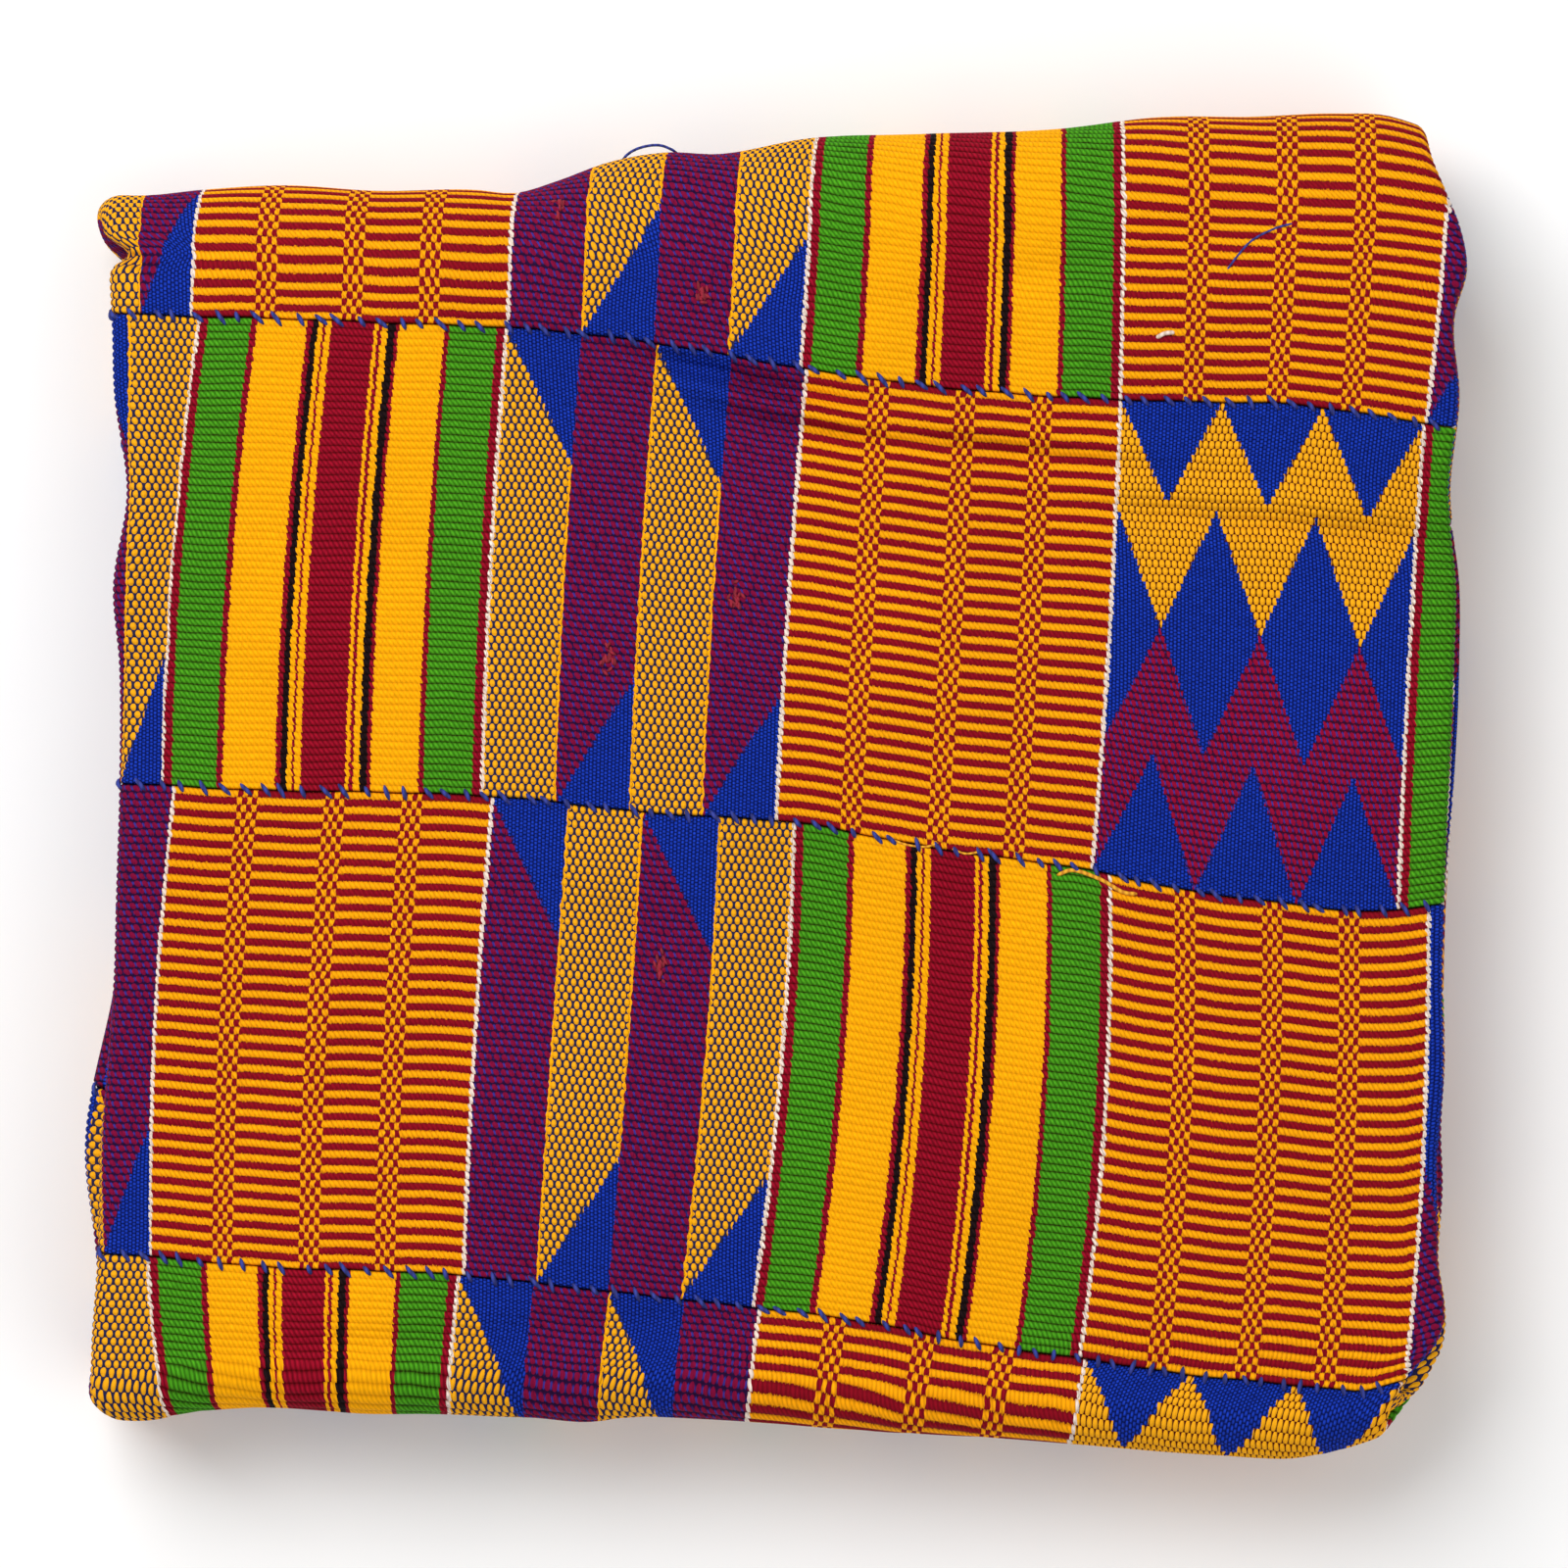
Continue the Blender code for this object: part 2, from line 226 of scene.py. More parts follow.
def folded(travel: np.ndarray, near: np.ndarray, far: np.ndarray, pitch: float) -> tuple:
    """The four-layer section: a top flat from near to far, a half circle of 1.5 pitches that
    takes it to the bottom flat, and at near two half circles of half a pitch that tuck both
    inwards.

    Args:
        travel: the way along the cloth, equal to the place along the top flat.
        near: where the small folds' arcs begin.
        far: where the wrap's arc begins.
        pitch: from one layer's middle to the next one's.

    Returns:
        The place along and across the section, and the two parts of its outward direction.
    """
    fold, wrap = arcs(pitch)
    on_wrap = far + wrap
    on_floor = on_wrap + far - near
    on_fold = on_floor + fold
    tucked = near - fold
    upper_turn = np.clip((near - travel) / (pitch / 2), 0, math.pi)
    wrap_turn = np.clip((travel - far) / (1.5 * pitch), 0, math.pi)
    lower_turn = np.clip((travel - on_floor) / (pitch / 2), 0, math.pi)
    level = np.zeros_like(travel)
    places = [travel < tucked, travel < near, travel <= far, travel < on_wrap]
    places += [travel < on_floor, travel < on_fold]
    along = np.select(
        places,
        [
            near + tucked - travel,
            near - pitch / 2 * np.sin(upper_turn),
            travel,
            far + 1.5 * pitch * np.sin(wrap_turn),
            far - (travel - on_wrap),
            near - pitch / 2 * np.sin(lower_turn),
        ],
        near + travel - on_fold,
    )
    across = np.select(
        places,
        [
            level + pitch / 2,
            pitch + pitch / 2 * np.cos(upper_turn),
            level + 1.5 * pitch,
            1.5 * pitch * np.cos(wrap_turn),
            level - 1.5 * pitch,
            -pitch - pitch / 2 * np.cos(lower_turn),
        ],
        level - pitch / 2,
    )
    turn = np.where(travel < near, -upper_turn, wrap_turn + lower_turn)
    return along, across, np.sin(turn), np.cos(turn)


@dataclass(frozen=True)
class FoldMap:
    """Where each point of the flat cloth lies once it is folded, with the CAD source's sizes."""

    strip_width: float = 100.0 * MM
    strip_count: int = 11
    sheet: float = 1.8 * MM
    seam_gap: float = 0.06 * MM
    seam_clear: float = 2.0 * MM
    seam_waver: float = 0.22 * MM
    layer_pitch: float = 2.8 * MM
    back_seam_y: float = 99.4 * MM
    strips_before_back_seam: int = 5
    centre_x: float = -1.67 * MM
    centre_y: float = -0.165 * MM

    @property
    def pile_pitch(self) -> float:
        """From one pile of four layers to the next."""
        return 4 * self.layer_pitch

    @property
    def half_pile(self) -> float:
        """From the middle of a pile to its outer face."""
        return 1.5 * self.layer_pitch + self.sheet / 2

    @property
    def rest_height(self) -> float:
        """The middle of the lowest layer above the surface."""
        return self.sheet / 2

    @property
    def middle_height(self) -> float:
        """The middle of the whole stack above the surface."""
        return self.rest_height + 1.5 * self.layer_pitch + 1.5 * self.pile_pitch

    @property
    def top_height(self) -> float:
        """The middle of the top layer above the surface."""
        return self.middle_height + 1.5 * self.pile_pitch + 1.5 * self.layer_pitch

    @property
    def near(self) -> float:
        """Where the small folds of the strips' own direction begin, as travel."""
        return -(NOMINAL_RIGHT - self.layer_pitch / 2 - self.sheet / 2)

    @property
    def far(self) -> float:
        """Where the wrap of the strips' own direction begins, as travel."""
        return -(NOMINAL_LEFT + self.half_pile)

    def fold_lines(self, x: np.ndarray) -> tuple[np.ndarray, np.ndarray]:
        """The middles of the front folds and of the back wrap, at each x."""
        front = soft_curve(x, REACHES, 2) + self.pile_pitch / 2 + self.half_pile
        back = soft_curve(x, REACHES, 1) - 1.5 * self.pile_pitch - self.half_pile
        return front, back

    def bends(self, x: np.ndarray) -> tuple:
        """Where the upper front fold, the back wrap and the lower front fold start and end."""
        front, back = self.fold_lines(x)
        fold, wrap = arcs(self.pile_pitch)
        floor_end = back + wrap + back - front
        return (front - fold, front), (back, back + wrap), (floor_end, floor_end + fold)

    def middle_x(self, along_travel: np.ndarray) -> np.ndarray:
        """The nominal x of the cloth's middle surface at this travel along the strips."""
        return -folded(along_travel, self.near, self.far, self.layer_pitch)[0]

    def seam(self, number: int, x: np.ndarray, along_travel: np.ndarray) -> np.ndarray:
        """Travel across the strips at which a seam runs: its start less the drop at x, kept to
        its own side of each bend, plus a sum of two sines for the hand-sewn edge.

        Args:
            number: the seam, counted from the tucked front end.
            x: the nominal place along X.
            along_travel: the way along the strips.

        Returns:
            The travel at each place.
        """
        start = self.back_seam_y + (number - self.strips_before_back_seam) * self.strip_width
        travel = start - soft_curve(x, DROPS, 1)
        if number in SHIFTED_SEAMS:
            travel = travel + soft_curve(x, SEAM_SHIFTS, SHIFTED_SEAMS.index(number) + 1)
        origin = np.zeros(1)
        middle = (start - soft_curve(origin, DROPS, 1))[0]
        for (low, high), (middle_low, middle_high) in zip(self.bends(x), self.bends(origin)):
            if middle < middle_low[0]:
                travel = np.minimum(travel, low - self.seam_clear)
            elif middle > middle_high[0]:
                travel = np.maximum(travel, high + self.seam_clear)
        phase = along_travel / MM + 37.0 * number
        return travel + self.seam_waver * (np.sin(phase / 3.1) + np.sin(phase / 7.7 + 2)) / 2

    def ends(self, x: np.ndarray) -> tuple[np.ndarray, np.ndarray]:
        """The travel at which the cloth's own two tucked edges lie, at each x."""
        front, back = self.fold_lines(x)
        fold, wrap = arcs(self.pile_pitch)
        span = back - front
        return front - fold - span, back + wrap + span + fold + span

    def pile_shift(self, height: np.ndarray, value: int) -> np.ndarray:
        """How far the pile at this height lies off the top one, eased from pile to pile."""
        level = (height - self.rest_height) / (self.top_height - self.rest_height)
        return soft_curve(level * PILES[-1, 0], PILES, value)

    def bulge(self, height: np.ndarray, y: np.ndarray) -> tuple[np.ndarray, np.ndarray]:
        """How far a pile stands out at its left and right ends: a sum of bells over the level
        and y."""
        level = 3 * (height - self.rest_height) / (self.top_height - self.rest_height)
        left = np.zeros_like(height)
        right = np.zeros_like(height)
        for bulge in BULGES:
            off_level = (level - bulge.level) / bulge.levels
            off_y = (y / MM - bulge.y) / bulge.reach
            share = np.exp(-(off_level**2) - off_y**2)
            left += bulge.left * MM * share
            right += bulge.right * MM * share
        return left, right

    def rise(self, x: np.ndarray, y: np.ndarray) -> np.ndarray:
        """The rises and hollows of the top: a sum of round bells, of long narrow ones for the
        creases, and of slow sines for the hand-laid cloth.

        Args:
            x: places along X.
            y: places along Y.

        Returns:
            The rise at each place.
        """
        total = np.zeros_like(x)
        for swell in SWELLS:
            near_x = (x / MM - swell.x) / swell.reach_x
            near_y = (y / MM - swell.y) / swell.reach_y
            total += swell.rise * MM * np.exp(-(near_x**2) - near_y**2)
        for crease in CREASES:
            heading = math.radians(crease.heading)
            from_x = x / MM - crease.x
            from_y = y / MM - crease.y
            along = (from_x * math.cos(heading) + from_y * math.sin(heading)) / crease.reach
            across = (from_y * math.cos(heading) - from_x * math.sin(heading)) / crease.width
            total += crease.rise * MM * np.exp(-(along**2) - across**2)
        for length_x, length_y, phase, height in RIPPLES:
            total += height * np.sin(math.tau * (x / length_x + y / length_y) + phase)
        return total

    def place(self, along_travel: np.ndarray, across_travel: np.ndarray, skin: np.ndarray) -> np.ndarray:
        """Folds the cloth: the four-layer section along the strips gives a place in the pile,
        the same section across them folds the pile, and a smooth warp gives the real outline.

        Args:
            along_travel: the way along the strips, which is minus x on the top.
            across_travel: the way across them, which is y on the top.
            skin: how far off the sheet's middle surface the point lies, outwards.

        Returns:
            Points, with a last axis of three.
        """
        along, across, out_along, out_across = folded(
            along_travel, self.near, self.far, self.layer_pitch
        )
        x = -along - skin * out_along
        offset = across + skin * out_across
        front, back = self.fold_lines(-along)
        along, across, out_y, out_z = folded(across_travel, front, back, self.pile_pitch)
        y = along + offset * out_y
        height = self.middle_height + across + offset * out_z
        left_bulge, right_bulge = self.bulge(height, y)
        left = soft_curve(y, SIDES, 1) - NOMINAL_LEFT + self.pile_shift(height, 1)
        right = soft_curve(y, SIDES, 2) - NOMINAL_RIGHT + self.pile_shift(height, 2)
        share = np.clip((x - NOMINAL_LEFT) / (NOMINAL_RIGHT - NOMINAL_LEFT), 0, 1)
        eased_x = x + left * (1 - share) + right * share
        eased_x += left_bulge * (1 - share) ** BULGE_FADE + right_bulge * share**BULGE_FADE
        front, back = self.fold_lines(x)
        share = np.clip((y - front) / (back - front), 0, 1)
        eased_y = y + self.pile_shift(height, 3) * (1 - share) + self.pile_shift(height, 4) * share
        lift = np.maximum(height - self.rest_height, 0) / (self.top_height - self.rest_height)
        settled = height + self.rise(eased_x, eased_y) * lift
        return np.stack([eased_x - self.centre_x, eased_y - self.centre_y, settled], axis=-1)


def top_height_at(fold_map: FoldMap, x: np.ndarray, y: np.ndarray) -> np.ndarray:
    """The height of the cloth's outer face under each place, from the nearest point of a grid
    laid over the top and the back wrap."""
    along = np.linspace(fold_map.near - 2 * MM, fold_map.far + 6 * MM, 240)
    across = np.linspace(-130 * MM, 150 * MM, 280)
    grid = np.meshgrid(along, across, indexing="ij")
    top = fold_map.place(*grid, fold_map.sheet / 2).reshape(-1, 3)
    gap = (top[None, :, 0] - x[:, None]) ** 2 + (top[None, :, 1] - y[:, None]) ** 2
    return top[np.argmin(gap, axis=1), 2]


def picture_to_cloth(pixels: np.ndarray, fold_map: FoldMap) -> np.ndarray:
    """Places along X, in metres, of columns of the photograph at the cloth's top."""
    return (pixels - PICTURE_MIDDLE) / PIXELS_PER_MM * MM - fold_map.centre_x


def picture_to_depth(pixels: np.ndarray, fold_map: FoldMap) -> np.ndarray:
    """Places along Y, in metres, of rows of the photograph at the cloth's top."""
    return (PICTURE_MIDDLE - pixels) / PIXELS_PER_MM * MM - fold_map.centre_y


def add_node(tree: bpy.types.NodeTree, kind: str, inputs: dict, **settings) -> bpy.types.NodeSocket:
    """Adds a shader node with its settings and links.

    Args:
        tree: the material's node tree.
        kind: the node's kind without its ShaderNode beginning.
        inputs: for each input, by name or number, a socket to link or a value to set.
        settings: the node's own settings; stops fills its colour ramp, and output says which
            of its outputs to return.

    Returns:
        The output socket.
    """
    node = tree.nodes.new("ShaderNode" + kind)
    output = settings.pop("output", 0)
    stops = settings.pop("stops", ())
    for name, value in settings.items():
        setattr(node, name, value)
    if stops:
        node.color_ramp.interpolation = "CONSTANT"
        while len(node.color_ramp.elements) < len(stops):
            node.color_ramp.elements.new(1.0)
        for element, (position, colour) in zip(node.color_ramp.elements, stops):
            element.position = position
            element.color = colour
    for key, value in inputs.items():
        if isinstance(value, bpy.types.NodeSocket):
            tree.links.new(value, node.inputs[key])
        else:
            node.inputs[key].default_value = value
    return node.outputs[output]


def work_out(tree: bpy.types.NodeTree, known: dict, rows: tuple) -> None:
    """Adds a table of sums and mixes to a node tree.

    Args:
        tree: the material's node tree.
        known: named sockets, to which each row's result is added.
        rows: each holds the result's name, the operation, and names or numbers for its inputs.
            MIX takes a factor and two colours.
    """
    blends = {"MIX": "MIX", "TINT": "MULTIPLY"}
    for name, operation, *parts in rows:
        values = [known[part] if isinstance(part, str) else part for part in parts]
        if operation in blends:
            kind = "Mix"
            inputs = dict(zip((0, 6, 7), values))
            settings = {"data_type": "RGBA", "blend_type": blends[operation], "output": 2}
        else:
            kind = "Math"
            inputs = dict(enumerate(values))
            settings = {"operation": operation.rstrip("+"), "use_clamp": operation.endswith("+")}
        known[name] = add_node(tree, kind, inputs, **settings)


def choose(name: str, switch: str, chosen: float | str, other: str) -> tuple:
    """Rows for one value where a switch is 1 and another where it is 0: their gap times the
    switch, plus the other."""
    return (f"{name}_gap", "SUBTRACT", chosen, other), (name, "MULTIPLY_ADD", f"{name}_gap", switch, other)


def arch(name: str, share: str) -> tuple:
    """Rows for a half sine over a share from 0 to 1."""
    return (f"{name}_turn", "MULTIPLY", share, math.pi), (name, "SINE", f"{name}_turn")


def oval(name: str, across: str, width: float | str, height: float | str) -> tuple:
    """Rows for how far inside an oval of a rib a point lies: one, less the squares of its shares
    of the oval's width and height, and never under 0."""
    return (
        (f"{name}_x", "DIVIDE", across, width),
        (f"{name}_y", "DIVIDE", "lean", height),
        (f"{name}_xx", "MULTIPLY", f"{name}_x", f"{name}_x"),
        (f"{name}_sum", "MULTIPLY_ADD", f"{name}_y", f"{name}_y", f"{name}_xx"),
        (f"{name}_inside", "SUBTRACT+", 1.0, f"{name}_sum"),
    )


def two_tone(name: str, roughness: float, kind: str, pattern: dict, colours: tuple) -> bpy.types.Material:
    """Makes a matt material that blends two colours by a texture on object coordinates.

    Args:
        name: the material's name.
        roughness: how rough it is.
        kind: the texture node's kind.
        pattern: the texture's inputs.
        colours: the colours where the texture is dark and where it is light.

    Returns:
        The new material.
    """
    material = bpy.data.materials.new(name)
    material.use_nodes = True
    tree = material.node_tree
    shader = tree.nodes["Principled BSDF"]
    place = add_node(tree, "TexCoord", {}, output=3)
    known = {"pattern": add_node(tree, kind, {"Vector": place, **pattern})}
    work_out(tree, known, (("face", "MIX", "pattern", *colours),))
    tree.links.new(known["face"], shader.inputs["Base Color"])
    shader.inputs["Roughness"].default_value = roughness
    return material


@dataclass(frozen=True)
class KenteWeave:
    """Weft-faced cotton and rayon, hand-woven in a narrow strip: ribs of weft over stout warp,
    satin-bright floats over dark gaps, and colours that change block by block."""

    name: str
    blocks: tuple
    bump_ribs: bool
    slant: tuple = ("GREATER_THAN", 1.0, -1.6)
    tooth: float = 0.42
    roughness: float = 0.8
    gold: tuple = linear("FAAA06")
    gold_float: tuple = linear("FAAD18")
    gold_border: tuple = linear("FBAC0C")
    maroon: tuple = linear("8C0B22")
    ladder_gold: tuple = linear("F9A208")
    ladder_maroon: tuple = linear("840B1C")
    green: tuple = linear("428E18")
    white: tuple = linear("ECD9CB")
    black: tuple = linear("1C1012")
    navy: tuple = linear("040A3E")
    blue_dot: tuple = linear("1C40C2")
    crimson: tuple = linear("7D0B36")
    violet: tuple = linear("34308C")
    purple_gap: tuple = linear("280C38")
    wine: tuple = linear("900A30")
    wine_ground: tuple = linear("3A0A2C")
    dark_gap: tuple = linear("242448")
    wine_gap: tuple = linear("54140E")
    # Tint of the painted shade in the grooves between ribs
    rib_groove_shade: tuple = linear("906050")

    @property
    def stripes(self) -> tuple:
        """The stops of the striped block: fractions of the block and the yarn that starts there,
        with the strength of the painted shade in the groove between its ribs as alpha."""
        # Alphas: how strong the painted shade in the grooves between ribs is for each yarn
        gold = self.gold[:3] + (0.35,)
        maroon = self.maroon[:3] + (0.9,)
        green = self.green[:3] + (1.0,)
        black = self.black[:3] + (0.9,)
        bands = (
            (maroon, 10.0), (green, 45.5), (maroon, 6.5), (gold, 54.0),
            (maroon, 4.5), (black, 6.5), (gold, 5.0), (maroon, 3.0), (gold, 6.0), (maroon, 46.0),
            (gold, 4.8), (maroon, 3.0), (gold, 6.2), (black, 8.0), (maroon, 4.0), (gold, 48.0),
            (maroon, 5.5), (green, 50.0), (maroon, 11.0),
        )
        total = sum(width for _, width in bands)
        starts = np.cumsum([0.0] + [width for _, width in bands[:-1]]) / total
        return tuple((float(start), colour) for start, (colour, _) in zip(starts, bands))

    @property
    def flips(self) -> tuple:
        """The stops of the ladder block: black or white says which of gold and maroon an even
        rib has, and it turns over at the edges of each checked column's four parts."""
        edges = [0.0]
        for start, end in ((0.200, 0.265), (0.475, 0.537), (0.715, 0.778)):
            edges += list(np.linspace(start, end, 5))
        return tuple((float(edge), (n % 2,) * 3 + (1.0,)) for n, edge in enumerate(edges))

    @property
    def order(self) -> tuple:
        """The stops that say which block a strip has where, as the blocks' greys."""
        count = len(self.blocks)
        return tuple((n / count, (b.value,) * 3 + (1.0,)) for n, b in enumerate(self.blocks))

    def build(self) -> bpy.types.Material:
        """Makes the material. Its pattern reads the UV map named weave, whose u counts blocks
        along the strip and whose v counts ribs across it.

        Returns:
            The new material.
        """
        material = bpy.data.materials.new(self.name)
        material.use_nodes = True
        tree = material.node_tree
        shader = tree.nodes["Principled BSDF"]
        uv = add_node(tree, "UVMap", {}, uv_map="weave")
        yarns = add_node(tree, "UVMap", {}, uv_map="yarns")
        place = add_node(tree, "TexCoord", {}, output=3)
        known = {
            "U": add_node(tree, "SeparateXYZ", {0: uv}),
            "V": add_node(tree, "SeparateXYZ", {0: uv}, output=1),
            "Y": add_node(tree, "SeparateXYZ", {0: yarns}),
        }
        for name, stretch in (
            ("kink", (30.0, 0.9, 1.0)),
            ("fibre", (170.0, 0.8, 1.0)),
            ("hair", (260.0, 0.25, 1.0)),
            ("drift", (14.0, 0.35, 1.0)),
            ("patch", None),
        ):
            vector, scale = place, 32.0
            if stretch:
                vector = add_node(tree, "VectorMath", {0: uv, 1: stretch}, operation="MULTIPLY")
                scale = 1.0
            known[name] = add_node(
                tree, "TexNoise", {"Vector": vector, "Scale": scale, "Detail": 1.0}
            )
        work_out(tree, known, self.places())
        known["kind"] = add_node(tree, "ValToRGB", {0: known["block_share"]}, stops=self.order)
        known["stripe"] = add_node(tree, "ValToRGB", {0: known["rope_u"]}, stops=self.stripes)
        # The ramp's alpha: strength of the painted shade in the grooves between ribs
        known["stripe_groove_shade"] = tree.nodes[-1].outputs[1]
        known["flip"] = add_node(tree, "ValToRGB", {0: known["u"]}, stops=self.flips)
        work_out(tree, known, self.figures())
        work_out(tree, known, self.colours())
        shader.inputs["Roughness"].default_value = self.roughness
        shader.inputs["Specular IOR Level"].default_value = 0.05
        tree.links.new(known["colour"], shader.inputs["Base Color"])
        bump = add_node(
            tree, "Bump", {"Height": known["relief"], "Distance": 1.0 * MM, "Strength": 1.0}
        )
        tree.links.new(bump, shader.inputs["Normal"])
        return material

    def places(self) -> tuple:
        """Rows that say where a point lies: its block, its rib and its share of each."""
        return (
            *((f"{name}_off", "SUBTRACT", name, 0.5) for name in ("kink", "drift", "hair", "fibre")),
            ("kink_u", "MULTIPLY", "kink_off", 0.016),
            ("wavy_U", "ADD", "U", "kink_u"),
            ("wavy_V", "MULTIPLY_ADD", "drift_off", 0.30, "V"),
            ("block", "FLOOR", "wavy_U"),
            ("u", "FRACT", "wavy_U"),
            ("from_first", "SUBTRACT", "block", FIRST_BLOCK - 0.5),
            ("block_share", "DIVIDE", "from_first", float(len(self.blocks))),
            ("rib", "FLOOR", "wavy_V"),
            ("r", "FRACT", "wavy_V"),
            ("odd", "MODULO", "rib", 2.0),
            ("rib_middle", "ADD", "rib", 0.5),
            ("share", "DIVIDE", "rib_middle", float(RIBS)),
            ("t", "SUBTRACT", 1.0, "share"),
            *arch("crest", "r"),
            ("flank", "SUBTRACT", 1.0, "crest"),
            ("groove", "POWER", "flank", 1.9),
            ("lean", "SUBTRACT", "r", 0.5),
            ("rope", "MULTIPLY", "lean", 0.0055),
            ("rope_u", "ADD+", "u", "rope"),
        )

    def figures(self) -> tuple:
        """Rows that turn a place into the figures: feathers, diamonds, ladder and floats."""
        return (
            *((f"is_{b.name.lower()}", "COMPARE", "kind", b.value, 0.05) for b in (S, F0, F1, Z, B)),
            ("is_feathers", "MAXIMUM", "is_feathers_gold_first", "is_feathers_purple_first"),
            ("is_other", "MAXIMUM", "is_diamonds", "is_slanted_end"),
            ("is_figured", "MAXIMUM", "is_feathers", "is_other"),
            # Feathers: four bands, the first of each pair cut at the back and the other at the
            # front by a blue triangle 0.28 of the strip deep
            ("bands", "MULTIPLY", "u", 4.0),
            ("band", "FLOOR", "bands"),
            ("q", "FRACT", "bands"),
            ("second", "MODULO", "band", 2.0),
            ("cut", "MULTIPLY", "q", 0.28),
            ("t_less", "SUBTRACT", "share", "t"),
            ("to_edge", "MULTIPLY_ADD", "t_less", "second", "t"),
            ("feather_blue", "LESS_THAN", "to_edge", "cut"),
            ("both", "ADD", "second", "is_feathers_purple_first"),
            ("gold_odds", "SUBTRACT", 1.0, "both"),
            ("feather_gold", "ABSOLUTE", "gold_odds"),
            # Diamonds: three teeth, blue triangles at both edges and blue diamonds between
            ("teeth", "MULTIPLY", "u", 3.0),
            ("pp", "PINGPONG", "teeth", 0.5),
            ("k", "MULTIPLY_ADD", "pp", -2.0, 1.0),
            ("back_depth", "MULTIPLY", "pp", self.tooth),
            ("back_blue", "LESS_THAN", "t", "back_depth"),
            ("half_width", "MULTIPLY", "k", 0.25),
            ("off_middle", "SUBTRACT", "t", 0.47),
            ("from_middle", "ABSOLUTE", "off_middle"),
            ("middle_blue", "LESS_THAN", "from_middle", "half_width"),
            ("front_depth", "MULTIPLY_ADD", "k", 0.27, 0.73),
            ("front_blue", "GREATER_THAN", "t", "front_depth"),
            ("edge_blue", "MAXIMUM", "back_blue", "front_blue"),
            ("diamond_blue", "MAXIMUM", "edge_blue", "middle_blue"),
            ("diamond_gold", "LESS_THAN", "t", 0.47),
            # Which of the two figures holds here
            *choose("blue_figure", "is_diamonds", "diamond_blue", "feather_blue"),
            *choose("gold_figure", "is_diamonds", "diamond_gold", "feather_gold"),
            ("not_slanted", "SUBTRACT", 1.0, "is_slanted_end"),
            ("is_gold", "MULTIPLY", "gold_figure", "not_slanted"),
            # Blue and purple with a slanting border: the block that runs over the right folds
            ("slant", "MULTIPLY_ADD", "u", self.slant[2], self.slant[1]),
            ("slant_blue", self.slant[0], "t", "slant"),
            *choose("is_blue", "is_slanted_end", "slant_blue", "blue_figure"),
            # Floats: ovals in brick order, one rib tall, 40 to a block, or 50 in the diamonds
            ("cells", "MULTIPLY_ADD", "is_diamonds", 10.0, 40.0),
            ("half_step", "MULTIPLY", "odd", 0.5),
            ("cell_at", "MULTIPLY_ADD", "Y", "cells", "half_step"),
            ("cell_share", "FRACT", "cell_at"),
            ("cell_off", "SUBTRACT", "cell_share", 0.5),
            ("float_width", "MULTIPLY_ADD", "is_diamonds", 0.09, 0.36),
            ("float_length", "MULTIPLY_ADD", "is_diamonds", 0.05, 0.56),
            *oval("float", "cell_off", "float_width", "float_length"),
            ("float_face", "MULTIPLY+", "float_inside", 9.0),
            ("float_height", "SQRT", "float_inside"),
            # A column of full gold floats at each border of a gold band with a purple one
            ("to_border", "PINGPONG", "bands", 0.5),
            ("border_width", "MULTIPLY_ADD", "crest", 0.030, 0.020),
            ("at_border", "LESS_THAN", "to_border", "border_width"),
            ("gold_border", "MULTIPLY", "at_border", "feather_gold"),
            ("not_cut", "SUBTRACT", 1.0, "feather_blue"),
            ("whole_border", "MULTIPLY", "gold_border", "not_cut"),
            ("border_float", "MULTIPLY", "whole_border", "is_feathers"),
            # Purple: slanting crimson ovals in brick order with small violet ones between
            ("slanted", "MULTIPLY_ADD", "lean", 0.35, "cell_at"),
            ("red_share", "FRACT", "slanted"),
            ("red_off", "SUBTRACT", "red_share", 0.5),
            *oval("red", "red_off", 0.41, 0.47),
            ("red_noise", "MULTIPLY_ADD", "fibre", 3.2, -0.7),
            ("red_sum", "MULTIPLY", "red_inside", "red_noise"),
            ("red_face", "MULTIPLY+", "red_sum", 4.0),
            ("violet_off", "PINGPONG", "slanted", 0.5),
            *oval("violet", "violet_off", 0.22, 0.40),
            ("violet_noise", "MULTIPLY_ADD", "kink", 4.0, -1.2),
            ("violet_sum", "MULTIPLY", "violet_inside", "violet_noise"),
            ("violet_face", "MULTIPLY+", "violet_sum", 1.6),
            # Blue: plain weave, dots in columns 0.8 mm apart and half a rib tall
            ("dot_at", "MULTIPLY", "Y", 82.0),
            ("dot_column", "FLOOR", "dot_at"),
            ("dot_odd", "MODULO", "dot_column", 2.0),
            ("dot_share", "FRACT", "dot_at"),
            *arch("dot_x", "dot_share"),
            ("dot_half", "MULTIPLY", "dot_odd", 0.5),
            ("dot_row", "MULTIPLY_ADD", "V", 2.0, "dot_half"),
            ("dot_up", "FRACT", "dot_row"),
            *arch("dot_y", "dot_up"),
            ("dot_round", "MULTIPLY", "dot_x", "dot_y"),
            ("dot_noise", "MULTIPLY_ADD", "fibre", 1.6, 0.3),
            ("dot", "MULTIPLY+", "dot_round", "dot_noise"),
            # Ladder: bars one rib tall with hairy edges, turned over in the checked columns
            ("hairy_V", "MULTIPLY_ADD", "hair_off", 0.55, "V"),
            ("bar_row", "FLOOR", "hairy_V"),
            ("bar_odd", "MODULO", "bar_row", 2.0),
            ("bar_gap", "SUBTRACT", "bar_odd", "flip"),
            ("bar_gold", "ABSOLUTE", "bar_gap"),
            # The cream weft line that ends each block
            ("twisted_U", "MULTIPLY_ADD", "lean", 0.0065, "wavy_U"),
            ("to_line", "PINGPONG", "twisted_U", 0.5),
            ("line_width", "MULTIPLY_ADD", "crest", 0.0018, 0.0047),
            ("is_line", "LESS_THAN", "to_line", "line_width"),
            # Flecks of the two plies across each rib of the plain bands
